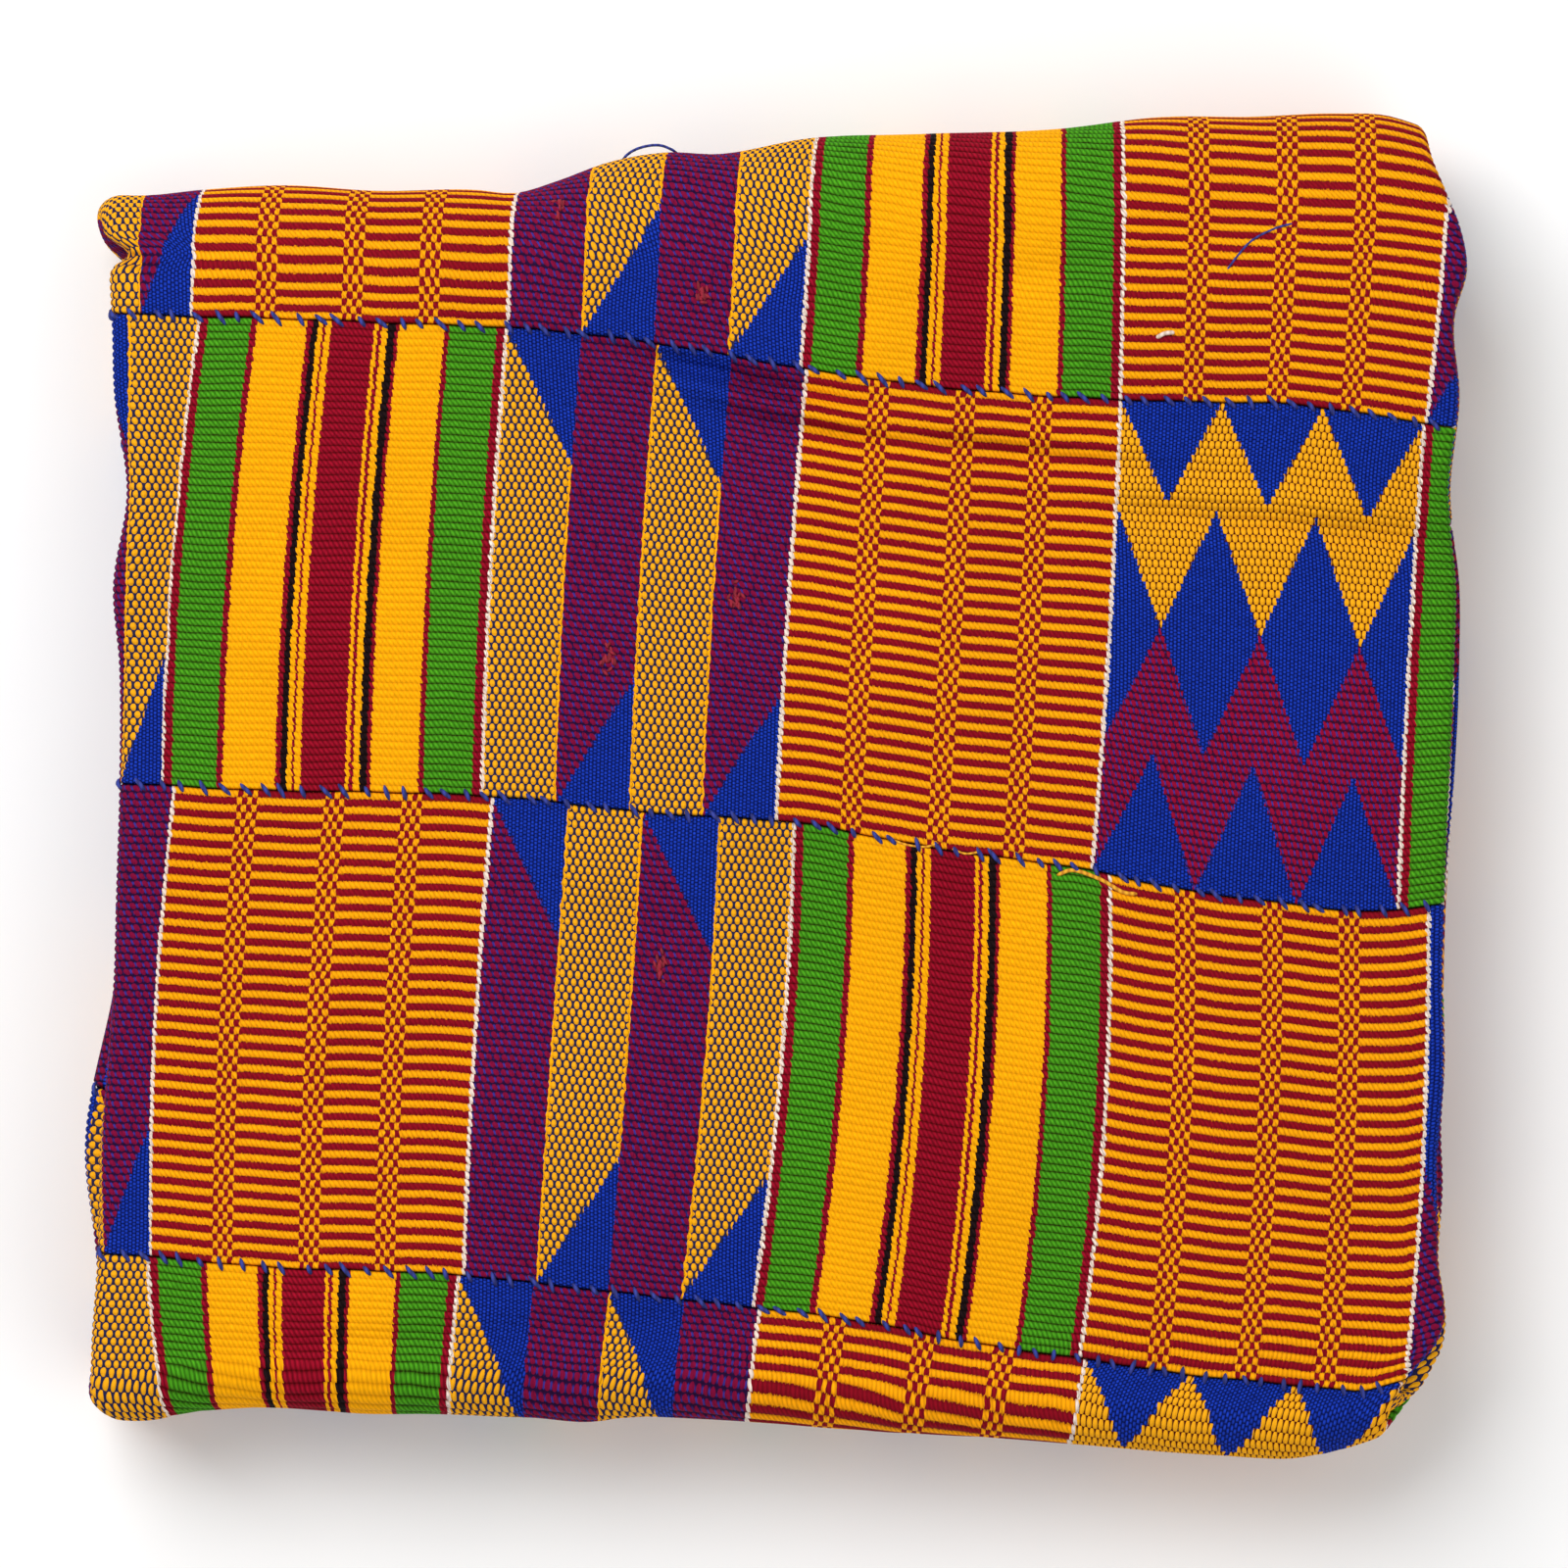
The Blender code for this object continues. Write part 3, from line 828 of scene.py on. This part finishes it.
            ("ply_at", "MULTIPLY_ADD", "Y", 62.0, "r"),
            ("ply", "PINGPONG", "ply_at", 0.5),
        )

    def colours(self) -> tuple:
        """Rows that colour the figures, add painted shade in the grooves and add up the relief."""
        rib_relief = 0.30 if self.bump_ribs else 0.0
        return (
            ("gap", "MIX", "is_diamonds", self.dark_gap, self.wine_gap),
            ("floats", "MIX", "float_face", "gap", self.gold_float),
            ("ground_yarn", "MIX", "is_diamonds", self.purple_gap, self.wine_ground),
            ("weft", "MIX", "violet_face", "ground_yarn", self.violet),
            ("red_yarn", "MIX", "is_diamonds", self.crimson, self.wine),
            ("purple", "MIX", "red_face", "weft", "red_yarn"),
            ("blue", "MIX", "dot", self.navy, self.blue_dot),
            ("pair", "MIX", "is_gold", "purple", "floats"),
            ("ground", "MIX", "border_float", "pair", self.gold_border),
            ("figured", "MIX", "is_blue", "ground", "blue"),
            ("bars", "MIX", "bar_gold", self.ladder_maroon, self.ladder_gold),
            ("plain", "MIX", "is_ladder", "stripe", "bars"),
            ("yarns", "MIX", "is_figured", "plain", "figured"),
            ("lined", "MIX", "is_line", "yarns", self.white),
            # Painted shade: how dark the groove between two ribs is painted
            ("not_gold", "SUBTRACT", 1.0, "is_gold"),
            ("not_blue", "SUBTRACT", 1.0, "is_blue"),
            ("purple_part", "MULTIPLY", "not_gold", "not_blue"),
            ("figured_groove_shade", "MULTIPLY", "purple_part", 0.2),
            *choose("plain_groove_shade", "is_ladder", 0.5, "stripe_groove_shade"),
            *choose("groove_shade_strength", "is_figured", "figured_groove_shade", "plain_groove_shade"),
            ("uneven", "MULTIPLY_ADD", "fibre", 2.0, 0.1),
            ("uneven_groove_shade", "MULTIPLY", "groove_shade_strength", "uneven"),
            # Painted shade: the grooves between ribs are darkened with the tint below
            ("line", "MULTIPLY+", "groove", "uneven_groove_shade"),
            ("groove_shaded", "TINT", "line", "lined", self.rib_groove_shade),
            # Uneven dye and fibres
            ("fibre_reach", "MULTIPLY_ADD", "groove_shade_strength", 0.75, 0.25),
            ("fibre_tone", "MULTIPLY_ADD", "fibre_off", "fibre_reach", 1.0),
            ("patch_tone", "MULTIPLY_ADD", "patch", 0.16, 0.92),
            ("ply_off", "SUBTRACT", "ply", 0.25),
            ("ply_part", "MULTIPLY", "ply_off", "groove_shade_strength"),
            ("ply_tone", "MULTIPLY_ADD", "ply_part", 1.9, 1.0),
            ("yarn_tone", "MULTIPLY", "fibre_tone", "ply_tone"),
            ("tone", "MULTIPLY", "yarn_tone", "patch_tone"),
            ("colour", "TINT", 1.0, "groove_shaded", "tone"),
            # Relief in millimetres
            ("float_part", "MULTIPLY", "is_gold", "not_blue"),
            ("float_here", "MULTIPLY", "float_part", "is_figured"),
            ("float_relief", "MULTIPLY", "float_here", "float_height"),
            ("blue_here", "MULTIPLY", "is_blue", "is_figured"),
            ("dot_relief", "MULTIPLY", "blue_here", "dot"),
            ("relief_1", "MULTIPLY", "float_relief", 0.34),
            ("relief_2", "MULTIPLY_ADD", "dot_relief", 0.16, "relief_1"),
            ("relief_3", "MULTIPLY_ADD", "fibre", 0.16, "relief_2"),
            ("relief_4", "MULTIPLY_ADD", "is_line", 0.15, "relief_3"),
            ("relief", "MULTIPLY_ADD", "crest", rib_relief, "relief_4"),
        )


@dataclass(frozen=True)
class SewingThread:
    """Dyed cotton sewing thread, two plies twisted: a matt cord whose slanting dark bands are painted
    shade in the grooves of its twist.
    """

    name: str
    colour: tuple
    # The darker colour: painted shade in the grooves of the twist
    shade: tuple
    turns: float = 1500.0

    def build(self) -> bpy.types.Material:
        """Makes the material from slanting bands on object coordinates; the darker bands are painted
        shade.
        """
        bands = {"Scale": self.turns / 6, "Distortion": 1.5}
        return two_tone(self.name, 0.8, "TexWave", bands, (self.shade, self.colour))


@dataclass(frozen=True)
class PaperSweep:
    """The floor: matt white studio paper, even and nearly without texture."""

    name: str = "studio_paper"
    colour: tuple = linear("FFFFFF")
    shade: tuple = linear("FCFCFC")

    def build(self) -> bpy.types.Material:
        """Makes the material, with a faint mottle so that it isn't flat."""
        return two_tone(self.name, 0.9, "TexNoise", {"Scale": 40.0}, (self.shade, self.colour))


def mesh_object(name: str, points: np.ndarray, faces: list, maps: dict | None = None) -> bpy.types.Object:
    """Makes a smooth mesh object at the origin, its faces turned to point outwards.

    Args:
        name: the object's name.
        points: the vertices, three numbers each.
        faces: lists of vertex numbers.
        maps: UV maps by name, with two numbers for each vertex.

    Returns:
        The new object, linked to the scene.
    """
    mesh = bpy.data.meshes.new(name)
    mesh.from_pydata(points.tolist(), [], faces)
    mesh.update()
    corners = np.empty(len(mesh.loops), np.int32)
    mesh.loops.foreach_get("vertex_index", corners)
    for title, places in (maps or {}).items():
        layer = mesh.uv_layers.new(name=title)
        layer.data.foreach_set("uv", places.reshape(-1, 2)[corners].astype(np.float32).ravel())
    mesh.calc_loop_triangles()
    triangles = np.empty(len(mesh.loop_triangles) * 3, np.int32)
    mesh.loop_triangles.foreach_get("vertices", triangles)
    if np.linalg.det(points[triangles.reshape(-1, 3)]).sum() < 0:
        mesh.flip_normals()
    mesh.shade_smooth()
    made = bpy.data.objects.new(name, mesh)
    bpy.context.scene.collection.objects.link(made)
    return made


def tube(rings: int, sides: int) -> np.ndarray:
    """The quads between the rings of a closed tube, each a row of four vertex numbers."""
    first = np.arange(sides)
    second = np.roll(first, -1)
    base = np.arange(rings - 1)[:, None] * sides
    corners = [base + first, base + second, base + sides + second, base + sides + first]
    return np.stack(corners, axis=-1).reshape(-1, 4)


def cords(centre: np.ndarray, above: np.ndarray, radius: np.ndarray, sides: int) -> tuple:
    """Closed round tubes along paths: each ring is a circle in the plane square to its path,
    from the cross products of the way forward and the way up.

    Args:
        centre: the paths' points: cord, ring, coordinate.
        above: the way up at each point.
        radius: the radius at each ring.
        sides: points in a ring.

    Returns:
        All vertices, and the faces as lists of vertex numbers.
    """
    count, rings = centre.shape[:2]
    forward = np.gradient(centre, axis=1)
    forward /= np.linalg.norm(forward, axis=-1, keepdims=True)
    side = np.cross(forward, above)
    side /= np.linalg.norm(side, axis=-1, keepdims=True)
    upwards = np.cross(side, forward)
    angle = math.tau * np.arange(sides) / sides
    ring = side[:, :, None] * np.cos(angle)[:, None] + upwards[:, :, None] * np.sin(angle)[:, None]
    points = centre[:, :, None] + ring * radius[None, :, None, None]
    starts = np.arange(count)[:, None, None] * rings * sides
    faces = (starts + tube(rings, sides)).reshape(-1, 4).tolist()
    first = np.arange(sides)
    faces += (starts[:, 0] + first[::-1]).tolist()
    faces += (starts[:, 0] + first + (rings - 1) * sides).tolist()
    return points.reshape(-1, 3), faces


@dataclass
class Strip:
    """One woven strip: a closed profile, ribbed outside and smooth inside, carried along the
    strip through all the folds."""

    number: int
    fold_map: FoldMap
    weave: bpy.types.Material
    fine: bool
    rib_relief: float = 0.36 * MM
    edge_round: float = 0.2 * MM
    flat_length: float = 1116.0 * MM
    rests_on: tuple = ()
    area: float | None = None
    made: bpy.types.Object | None = field(default=None, repr=False)

    @property
    def name(self) -> str:
        """The piece's name."""
        return f"woven_strip_{self.number + 1:02d}"

    @property
    def node(self) -> str:
        """The CAD node that the piece stands for."""
        return f"strip_{self.number + 1:02d}"

    @property
    def steps_per_rib(self) -> int:
        """How many steps of the profile each rib has."""
        return 4 if self.fine else 1

    def stations(self) -> np.ndarray:
        """Places of travel along the strip, closer together on its bends and on the top."""
        pieces = (20, 8, 110, 14, 24, 8, 20) if self.fine else (12, 6, 36, 10, 24, 6, 12)
        near = self.fold_map.near
        span = self.fold_map.far - near
        fold, wrap = arcs(self.fold_map.layer_pitch)
        lengths = (span, fold, span, wrap, span, fold, span)
        steps = np.concatenate([np.full(n, length / n) for length, n in zip(lengths, pieces)])
        return near - fold - span + np.concatenate([[0.0], np.cumsum(steps)])

    def profile(self) -> tuple[np.ndarray, np.ndarray]:
        """The closed section across the strip: out along the ribbed face and back along the
        plain one. Each rib is the root of a half sine, and both edges are rounded to a line.

        Returns:
            The share of the strip's width and the distance off its middle surface.
        """
        outer = np.linspace(0, 1, RIBS * self.steps_per_rib + 1)
        inner = np.linspace(1, 0, RIBS + 1)[1:-1]
        share = np.concatenate([outer, inner])
        to_edge = np.minimum(share, 1 - share) * self.fold_map.strip_width
        rounding = np.sqrt(1 - (1 - np.clip(to_edge / self.edge_round, 0, 1)) ** 2)
        relief = self.rib_relief if self.fine else 0.0
        cord = np.abs(np.sin(math.pi * outer * RIBS)) ** 0.7
        skin = np.full(len(share), -self.fold_map.sheet / 2)
        skin[: len(outer)] = self.fold_map.sheet / 2 - relief * (1 - cord)
        return share, skin * rounding

    def block_count(self, along_travel: np.ndarray, share: np.ndarray) -> np.ndarray:
        """How many blocks of the pattern lie before each point. On the top the count follows the
        points' own x between the weft lines, each a parabola through its three places in the
        photograph; beyond both folds it follows travel.

        Args:
            along_travel: travel of each column, as a column of a grid.
            share: share of the strip's width of each row.

        Returns:
            The count, with its fraction, at each point of the grid.
        """
        near = self.fold_map.near
        far = self.fold_map.far
        on_top = np.clip(along_travel, near, far)
        across = self.across(on_top, share)
        x = self.fold_map.place(np.broadcast_to(on_top[:, None], across.shape), across, 0.0)[..., 0]
        x = x + np.minimum(far - along_travel, 0)[:, None] + np.maximum(near - along_travel, 0)[:, None]
        if self.number in WEFT_LINES:
            weights = np.stack(
                [(2 * share - 1) * (share - 1), 4 * share * (1 - share), share * (2 * share - 1)],
                axis=-1,
            )
            lines = weights @ np.array(WEFT_LINES[self.number], float)
            lines = picture_to_cloth(lines, self.fold_map)
            left_length = weights @ np.array(LEFT_BLOCKS[self.number]) / PIXELS_PER_MM * MM
        else:
            shift = (self.number * HIDDEN_STEP) % 1.0 * BLOCK_LENGTH
            lines = HIDDEN_LINE + shift + BLOCK_LENGTH * np.arange(5) + 0 * share[:, None]
            left_length = BLOCK_LENGTH + 0 * share
        before = np.minimum(x - lines[:, 0], 0)
        first_part = np.maximum(before, -left_length)
        count = FIRST_LINE + first_part / left_length + (before - first_part) / BLOCK_LENGTH
        for low, high in zip(lines.T[:-1], lines.T[1:]):
            count += np.clip((x - low) / (high - low), 0, 1)
        return count + np.maximum(x - lines[:, -1], 0) / BLOCK_LENGTH

    def across(self, along_travel: np.ndarray, share: np.ndarray) -> np.ndarray:
        """Travel across the strips of a grid's points: between the strip's two seams, or the
        cloth's own edges, by the share of its width.

        Args:
            along_travel: travel of each column.
            share: share of the width of each row.

        Returns:
            The travel at each point of the grid.
        """
        x = self.fold_map.middle_x(along_travel)
        first, last = self.fold_map.ends(x)
        start = np.maximum(self.fold_map.seam(self.number, x, along_travel), first)
        end = self.fold_map.seam(self.number + 1, x, along_travel) - self.fold_map.seam_gap
        end = np.minimum(end, last)
        return start[:, None] + (end - start)[:, None] * share

    def build(self) -> None:
        """Carries the profile through the folds, joins it to quads and closes both ends."""
        along = self.stations()
        share, skin = self.profile()
        across = self.across(along, share)
        points = self.fold_map.place(np.broadcast_to(along[:, None], across.shape), across, skin)
        around = len(share)
        faces = tube(len(along), around).tolist()
        last = (len(along) - 1) * around
        faces += self.cap(around, 0, False) + self.cap(around, last, True)
        counts = self.block_count(along, share)
        ribs = np.broadcast_to(share * RIBS, counts.shape)
        yarns = np.broadcast_to(-along[:, None] / BLOCK_LENGTH, counts.shape)
        maps = {"weave": np.stack([counts, ribs], axis=-1), "yarns": np.stack([yarns, ribs], axis=-1)}
        self.made = mesh_object(self.name, points.reshape(-1, 3), faces, maps)

    def cap(self, around: int, base: int, turned: bool) -> list:
        """Faces that close an end: one for each step of the plain face, with the steps of the
        ribbed face that lie across from it.

        Args:
            around: points in the profile.
            base: the first point of the profile at this end.
            turned: whether the faces go the other way round.

        Returns:
            The faces.
        """
        steps = self.steps_per_rib
        faces = []
        for step in range(RIBS):
            outer = list(range(step * steps, (step + 1) * steps + 1))
            inner = [around - step - 1] if step < RIBS - 1 else []
            inner += [around - step] if step > 0 else []
            face = [base + point for point in outer + inner]
            faces.append(face[::-1] if turned else face)
        return faces

    def dress(self, with_pieces: list) -> None:
        """Gives the strip its weave and its body, and hides the CAD node that it stands for.

        Args:
            with_pieces: the separate pieces on the strip; not used.
        """
        self.made.data.materials.append(self.weave)
        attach(self.made, BODY)
        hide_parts(self.node)


@dataclass(kw_only=True)
class SewnPiece:
    """What each stitched or loose yarn has: its strip, its thread, and its place on the cloth."""

    strip: int
    fold_map: FoldMap
    thread: bpy.types.Material
    made: bpy.types.Object | None = field(default=None, repr=False)

    def dress(self) -> None:
        """Gives the piece its thread and body."""
        self.made.data.materials.append(self.thread)
        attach(self.made, BODY)

    def run_cords(self, path: tuple, radius: np.ndarray, sides: int) -> None:
        """Makes the piece of round cords along paths that lie on the top.

        Args:
            path: the paths' x, y and z, with an axis for the cords and one for their rings.
            radius: the radius at each ring.
            sides: points in a ring.
        """
        centre = np.stack(path, axis=-1)
        up = np.broadcast_to(np.array([0.0, 0.0, 1.0]), centre.shape)
        self.made = mesh_object(self.name, *cords(centre, up, radius, sides))


@dataclass(kw_only=True)
class SeamStitching(SewnPiece):
    """The overcast stitches along one strip's front seam, as one mesh of short bent cords whose
    ends dive into the two strips."""

    spacing: float = 4.3 * MM
    length_along: float = 1.9 * MM
    length_across: float = 2.5 * MM
    radius: float = 0.5 * MM
    rise: float = 0.75 * MM
    sunk: float = 0.35 * MM
    clear_of_floor: float = 0.02 * MM
    jitter: float = 0.22
    length_shares: tuple = (0.4, 1.5)
    width_shares: tuple = (0.75, 1.25)
    rings: int = 7
    sides: int = 6

    @property
    def name(self) -> str:
        """The piece's name."""
        return f"overcast_stitches_{self.strip:02d}"

    def build(self) -> None:
        """Lays a bent cord at each stitch: its path crosses the seam at a slant and rises by a
        half sine, and its ring is a circle in the plane square to the path, tapered at both
        ends."""
        draw = np.random.default_rng(40 + self.strip)
        near = self.fold_map.near
        far = self.fold_map.far
        outside = far + arcs(self.fold_map.layer_pitch)[1] + far - near
        count = int((outside - near) / self.spacing)
        jitter = draw.uniform(-self.jitter, self.jitter, count)
        middle = near + (np.arange(count) + 0.5 + jitter) * self.spacing
        reach = self.length_along * draw.uniform(*self.length_shares, count)
        width = self.length_across * draw.uniform(*self.width_shares, count)
        step = np.linspace(-0.5, 0.5, self.rings)
        along = middle[:, None] - reach[:, None] * step
        x = self.fold_map.middle_x(middle)
        seam = self.fold_map.seam(self.strip, x, middle) - self.fold_map.seam_gap / 2
        across = seam[:, None] - width[:, None] * step
        lift = self.fold_map.sheet / 2 - self.sunk + self.rise * np.cos(math.pi * step) ** 0.7
        skin = np.broadcast_to(lift, along.shape)
        centre = self.fold_map.place(along, across, skin)
        above = self.fold_map.place(along, across, skin + 0.1 * MM) - centre
        above /= np.linalg.norm(above, axis=-1, keepdims=True)
        taper = self.radius * (0.45 + 0.55 * np.cos(math.pi * step) ** 0.6)
        points, faces = cords(centre, above, taper, self.sides)
        points[:, 2] = np.maximum(points[:, 2], self.clear_of_floor)
        self.made = mesh_object(self.name, points, faces)


@dataclass(kw_only=True)
class LooseYarn(SewnPiece):
    """A short loose yarn end that lies on the top in a soft curve, through points read off the
    photograph in its pixels."""

    name: str
    pixels: tuple
    radius: float
    sides: int = 8
    steps: int = 40
    bury: float = 0.25 * MM
    end_share: float = 0.06
    smoothed: int = 7

    def build(self) -> None:
        """Runs a round tube, tapered at its ends, along a smooth curve on the surface."""
        knots = np.array(self.pixels, float)
        table = np.column_stack([np.arange(len(knots)), knots])
        at = np.linspace(0, len(knots) - 1, self.steps)
        x = picture_to_cloth(soft_curve(at, table, 1), self.fold_map)
        y = picture_to_depth(soft_curve(at, table, 2), self.fold_map)
        height = top_height_at(self.fold_map, x, y)
        height = np.pad(height, self.smoothed // 2, mode="edge")
        height = np.convolve(height, np.full(self.smoothed, 1 / self.smoothed), mode="valid")
        share = np.linspace(0, 1, self.steps)
        dive = np.clip(np.minimum(share, 1 - share) / self.end_share, 0, 1)
        z = height + self.radius - self.bury + (dive - 1) * 0.5 * MM
        path = (x[None], y[None], z[None])
        self.run_cords(path, self.radius * (0.5 + 0.5 * dive), self.sides)


@dataclass(kw_only=True)
class Darn(SewnPiece):
    """A small irregular cluster of short stitches in the top, as one mesh."""

    name: str
    pixels: tuple
    reach: tuple = (0.7 * MM, 1.5 * MM)
    stitches: int = 16
    radius: float = 0.38 * MM
    scatter: float = 0.6
    lengths: tuple = (1.0, 2.2)
    rise: float = 0.1 * MM
    rings: int = 5
    sides: int = 6

    def build(self) -> None:
        """Lays short bent cords at drawn places and headings; each rises by a half sine."""
        draw = np.random.default_rng(self.pixels)
        middle_x = picture_to_cloth(self.pixels[0], self.fold_map)
        middle_y = picture_to_depth(self.pixels[1], self.fold_map)
        x = middle_x + draw.normal(0, self.reach[0], self.stitches)
        y = middle_y + draw.normal(0, self.reach[1], self.stitches)
        heading = draw.normal(math.pi / 2, self.scatter, self.stitches)[:, None]
        length = draw.uniform(*self.lengths, self.stitches)[:, None] * MM
        step = np.linspace(-0.5, 0.5, self.rings)
        height = top_height_at(self.fold_map, x, y)[:, None] + self.rise * np.cos(math.pi * step)
        path_x = x[:, None] + length * step * np.cos(heading)
        path_y = y[:, None] + length * step * np.sin(heading)
        taper = self.radius * (0.5 + 0.5 * np.cos(math.pi * step))
        self.run_cords((path_x, path_y, height), taper, self.sides)


# Loose yarn ends: name, strip, thread, radius in millimetres, and the points that each follows,
# in the photograph's pixels
LOOSE_YARNS = (
    ("gold_yarn", 4, "gold", 0.42, ((1078, 893), (1095, 888), (1122, 897), (1145, 910), (1160, 912))),
    ("navy_thread", 5, "navy", 0.22, ((1250, 278), (1262, 262), (1277, 246), (1300, 234), (1321, 228))),
    ("navy_arc", 5, "navy", 0.3, ((630, 158), (641, 147), (656, 141), (673, 140), (690, 147))),
    ("gold_loop_1", 3, "gold", 0.24, ((911, 857), (925, 862), (944, 864), (958, 860))),
    ("gold_loop_2", 3, "gold", 0.24, ((971, 866), (985, 871), (1001, 869))),
    ("cream_fleck", 5, "cream", 0.45, ((1180, 345), (1188, 341), (1197, 340))),
)

# Darns: the strip and the middle of each, in the photograph's pixels
DARNS = ((5, (570, 210)), (5, (715, 300)), (4, (751, 612)), (3, (675, 986)), (4, (620, 671)))


@dataclass
class Cloth:
    """The whole folded cloth: its strips, their stitching, the loose yarn ends and the darns."""

    fold_map: FoldMap = FoldMap()
    fine_strips: tuple = (2, 3, 4, 5)
    strips: list = field(default_factory=list)
    sewn: list = field(default_factory=list)

    # What each strip lies on, from the tucked front end to the tucked back end
    rests: tuple = (
        ("strip_11",), ("strip_10",), ("strip_09", "strip_10"), ("strip_02", "strip_03"),
        ("strip_01", "strip_02"), ("strip_01", "strip_07"), ("floor",), ("floor",), ("floor",),
        ("strip_08", "strip_09"), ("strip_07",),
    )
    # Flat areas of the two outermost strips, which are narrowed to the room the folds leave
    areas: ClassVar[dict] = {0: 0.0731, 10: 0.0704}

    def threads(self) -> dict:
        """The sewing threads and loose yarns, by their colour."""
        return {
            # Each thread's second colour is painted shade in the grooves of its twist
            "navy": SewingThread("navy_cotton_thread", linear("2E3E9E"), linear("1C2468")).build(),
            "gold": SewingThread("gold_rayon_yarn", linear("F7B41E"), linear("C77E0A")).build(),
            "cream": SewingThread("cream_cotton_yarn", linear("F3E1D6"), linear("CDB6A4")).build(),
            "crimson": SewingThread("crimson_cotton_yarn", linear("9C0C2C"), linear("740820")).build(),
        }

    def weaves(self) -> list:
        """The woven material of each strip, in the strips' order."""
        looks = (
            KenteWeave("kente_lower_striped_strip", STRIPED_STRIP, True),
            KenteWeave("kente_lower_ladder_strip", LADDER_STRIP, True),
            # The front strip bends down at its front fold, where the outer face stretches: its
            # blue triangles are drawn shorter, so that their tips still show from above
            KenteWeave("kente_short_toothed_strip", STRIPED_STRIP, False, tooth=0.28),
            KenteWeave("kente_blue_ended_strip", LADDER_STRIP, False, slant=("LESS_THAN", 0.53, 2.5)),
            KenteWeave("kente_striped_strip", STRIPED_STRIP, False),
            KenteWeave("kente_ladder_strip", LADDER_STRIP, False),
        )
        made = [look.build() for look in looks]
        return made + [made[number % 2] for number in range(len(made), self.fold_map.strip_count)]

    def add(self, piece: Strip | SewnPiece, group: list) -> None:
        """Builds a piece, puts it in its group and reports it."""
        piece.build()
        group.append(piece)
        log.info("%s: %d faces", piece.name, len(piece.made.data.polygons))

    def build(self) -> None:
        """Makes the materials once and builds each strip, seam, yarn end and darn with them."""
        threads = self.threads()
        for number, weave in enumerate(self.weaves()):
            strip = Strip(
                number,
                self.fold_map,
                weave,
                number in self.fine_strips,
                rests_on=self.rests[number],
                area=self.areas.get(number),
            )
            self.add(strip, self.strips)
        for number in range(1, self.fold_map.strip_count):
            seam = SeamStitching(strip=number, fold_map=self.fold_map, thread=threads["navy"])
            self.add(seam, self.sewn)
        for name, number, thread, radius, pixels in LOOSE_YARNS:
            yarn = LooseYarn(
                name=f"loose_{name}",
                strip=number,
                fold_map=self.fold_map,
                thread=threads[thread],
                radius=radius * MM,
                pixels=pixels,
            )
            self.add(yarn, self.sewn)
        for count, (number, pixels) in enumerate(DARNS, 1):
            darn = Darn(
                name=f"darn_crimson_{count}",
                strip=number,
                fold_map=self.fold_map,
                thread=threads["crimson"],
                pixels=pixels,
            )
            self.add(darn, self.sewn)

    def dress(self) -> None:
        for piece in self.sewn:
            piece.dress()
        for strip in self.strips:
            strip.dress([piece.made for piece in self.sewn if piece.strip == strip.number])


@dataclass
class Studio:
    """The pale floor, the soft lights and the camera straight above."""

    fold_map: FoldMap
    floor_half: float = 3.0
    floor_depth: float = 0.3 * MM
    camera_height: float = 1.5
    picture_width: float = 1600 / PIXELS_PER_MM * MM
    sensor: float = 36.0
    key_energy: float = 22.0
    sky_strength: float = 0.39

    def build(self) -> None:
        """Makes the floor, the lights and the camera."""
        half = self.floor_half
        points = np.array([(-half, -half), (half, -half), (half, half), (-half, half)])
        points = np.column_stack([points, np.full(4, -self.floor_depth)])
        floor = mesh_object("floor", points, [[0, 1, 2, 3]])
        floor.data.materials.append(PaperSweep().build())
        for name, place, size, energy in (
            ("key_light", (-0.62, 0.8, 1.35), 1.1, self.key_energy),
            ("fill_light", (0.9, -0.7, 1.4), 1.6, self.key_energy * 0.4),
        ):
            light = bpy.data.lights.new(name, "AREA")
            light.size = size
            light.energy = energy
            lamp = bpy.data.objects.new(name, light)
            lamp.location = place
            direction = -np.array(place)
            lamp.rotation_euler = (
                math.atan2(math.hypot(direction[0], direction[1]), -direction[2]),
                0.0,
                math.atan2(direction[1], direction[0]) - math.pi / 2,
            )
            bpy.context.scene.collection.objects.link(lamp)
        bpy.context.scene.view_settings.view_transform = "Standard"
        world = bpy.data.worlds.new("soft_studio")
        bpy.context.scene.world = world
        world.use_nodes = True
        sky = world.node_tree.nodes["Background"]
        sky.inputs["Color"].default_value = linear("FFFFFF")
        sky.inputs["Strength"].default_value = self.sky_strength
        camera = bpy.data.cameras.new("camera_above")
        camera.sensor_width = self.sensor
        camera.lens = self.sensor * self.camera_height / self.picture_width
        camera.clip_start = 0.05
        view = bpy.data.objects.new("camera_above", camera)
        view.location = (
            -self.fold_map.centre_x,
            -self.fold_map.centre_y,
            self.fold_map.top_height + self.camera_height,
        )
        bpy.context.scene.collection.objects.link(view)
        bpy.context.scene.camera = view


def main() -> None:
    """Builds the studio and the cloth."""
    logging.basicConfig(level=logging.INFO, format="%(message)s")
    cloth = Cloth()
    Studio(cloth.fold_map).build()
    cloth.build()
    cloth.dress()


if __name__ == "__main__":
    main()
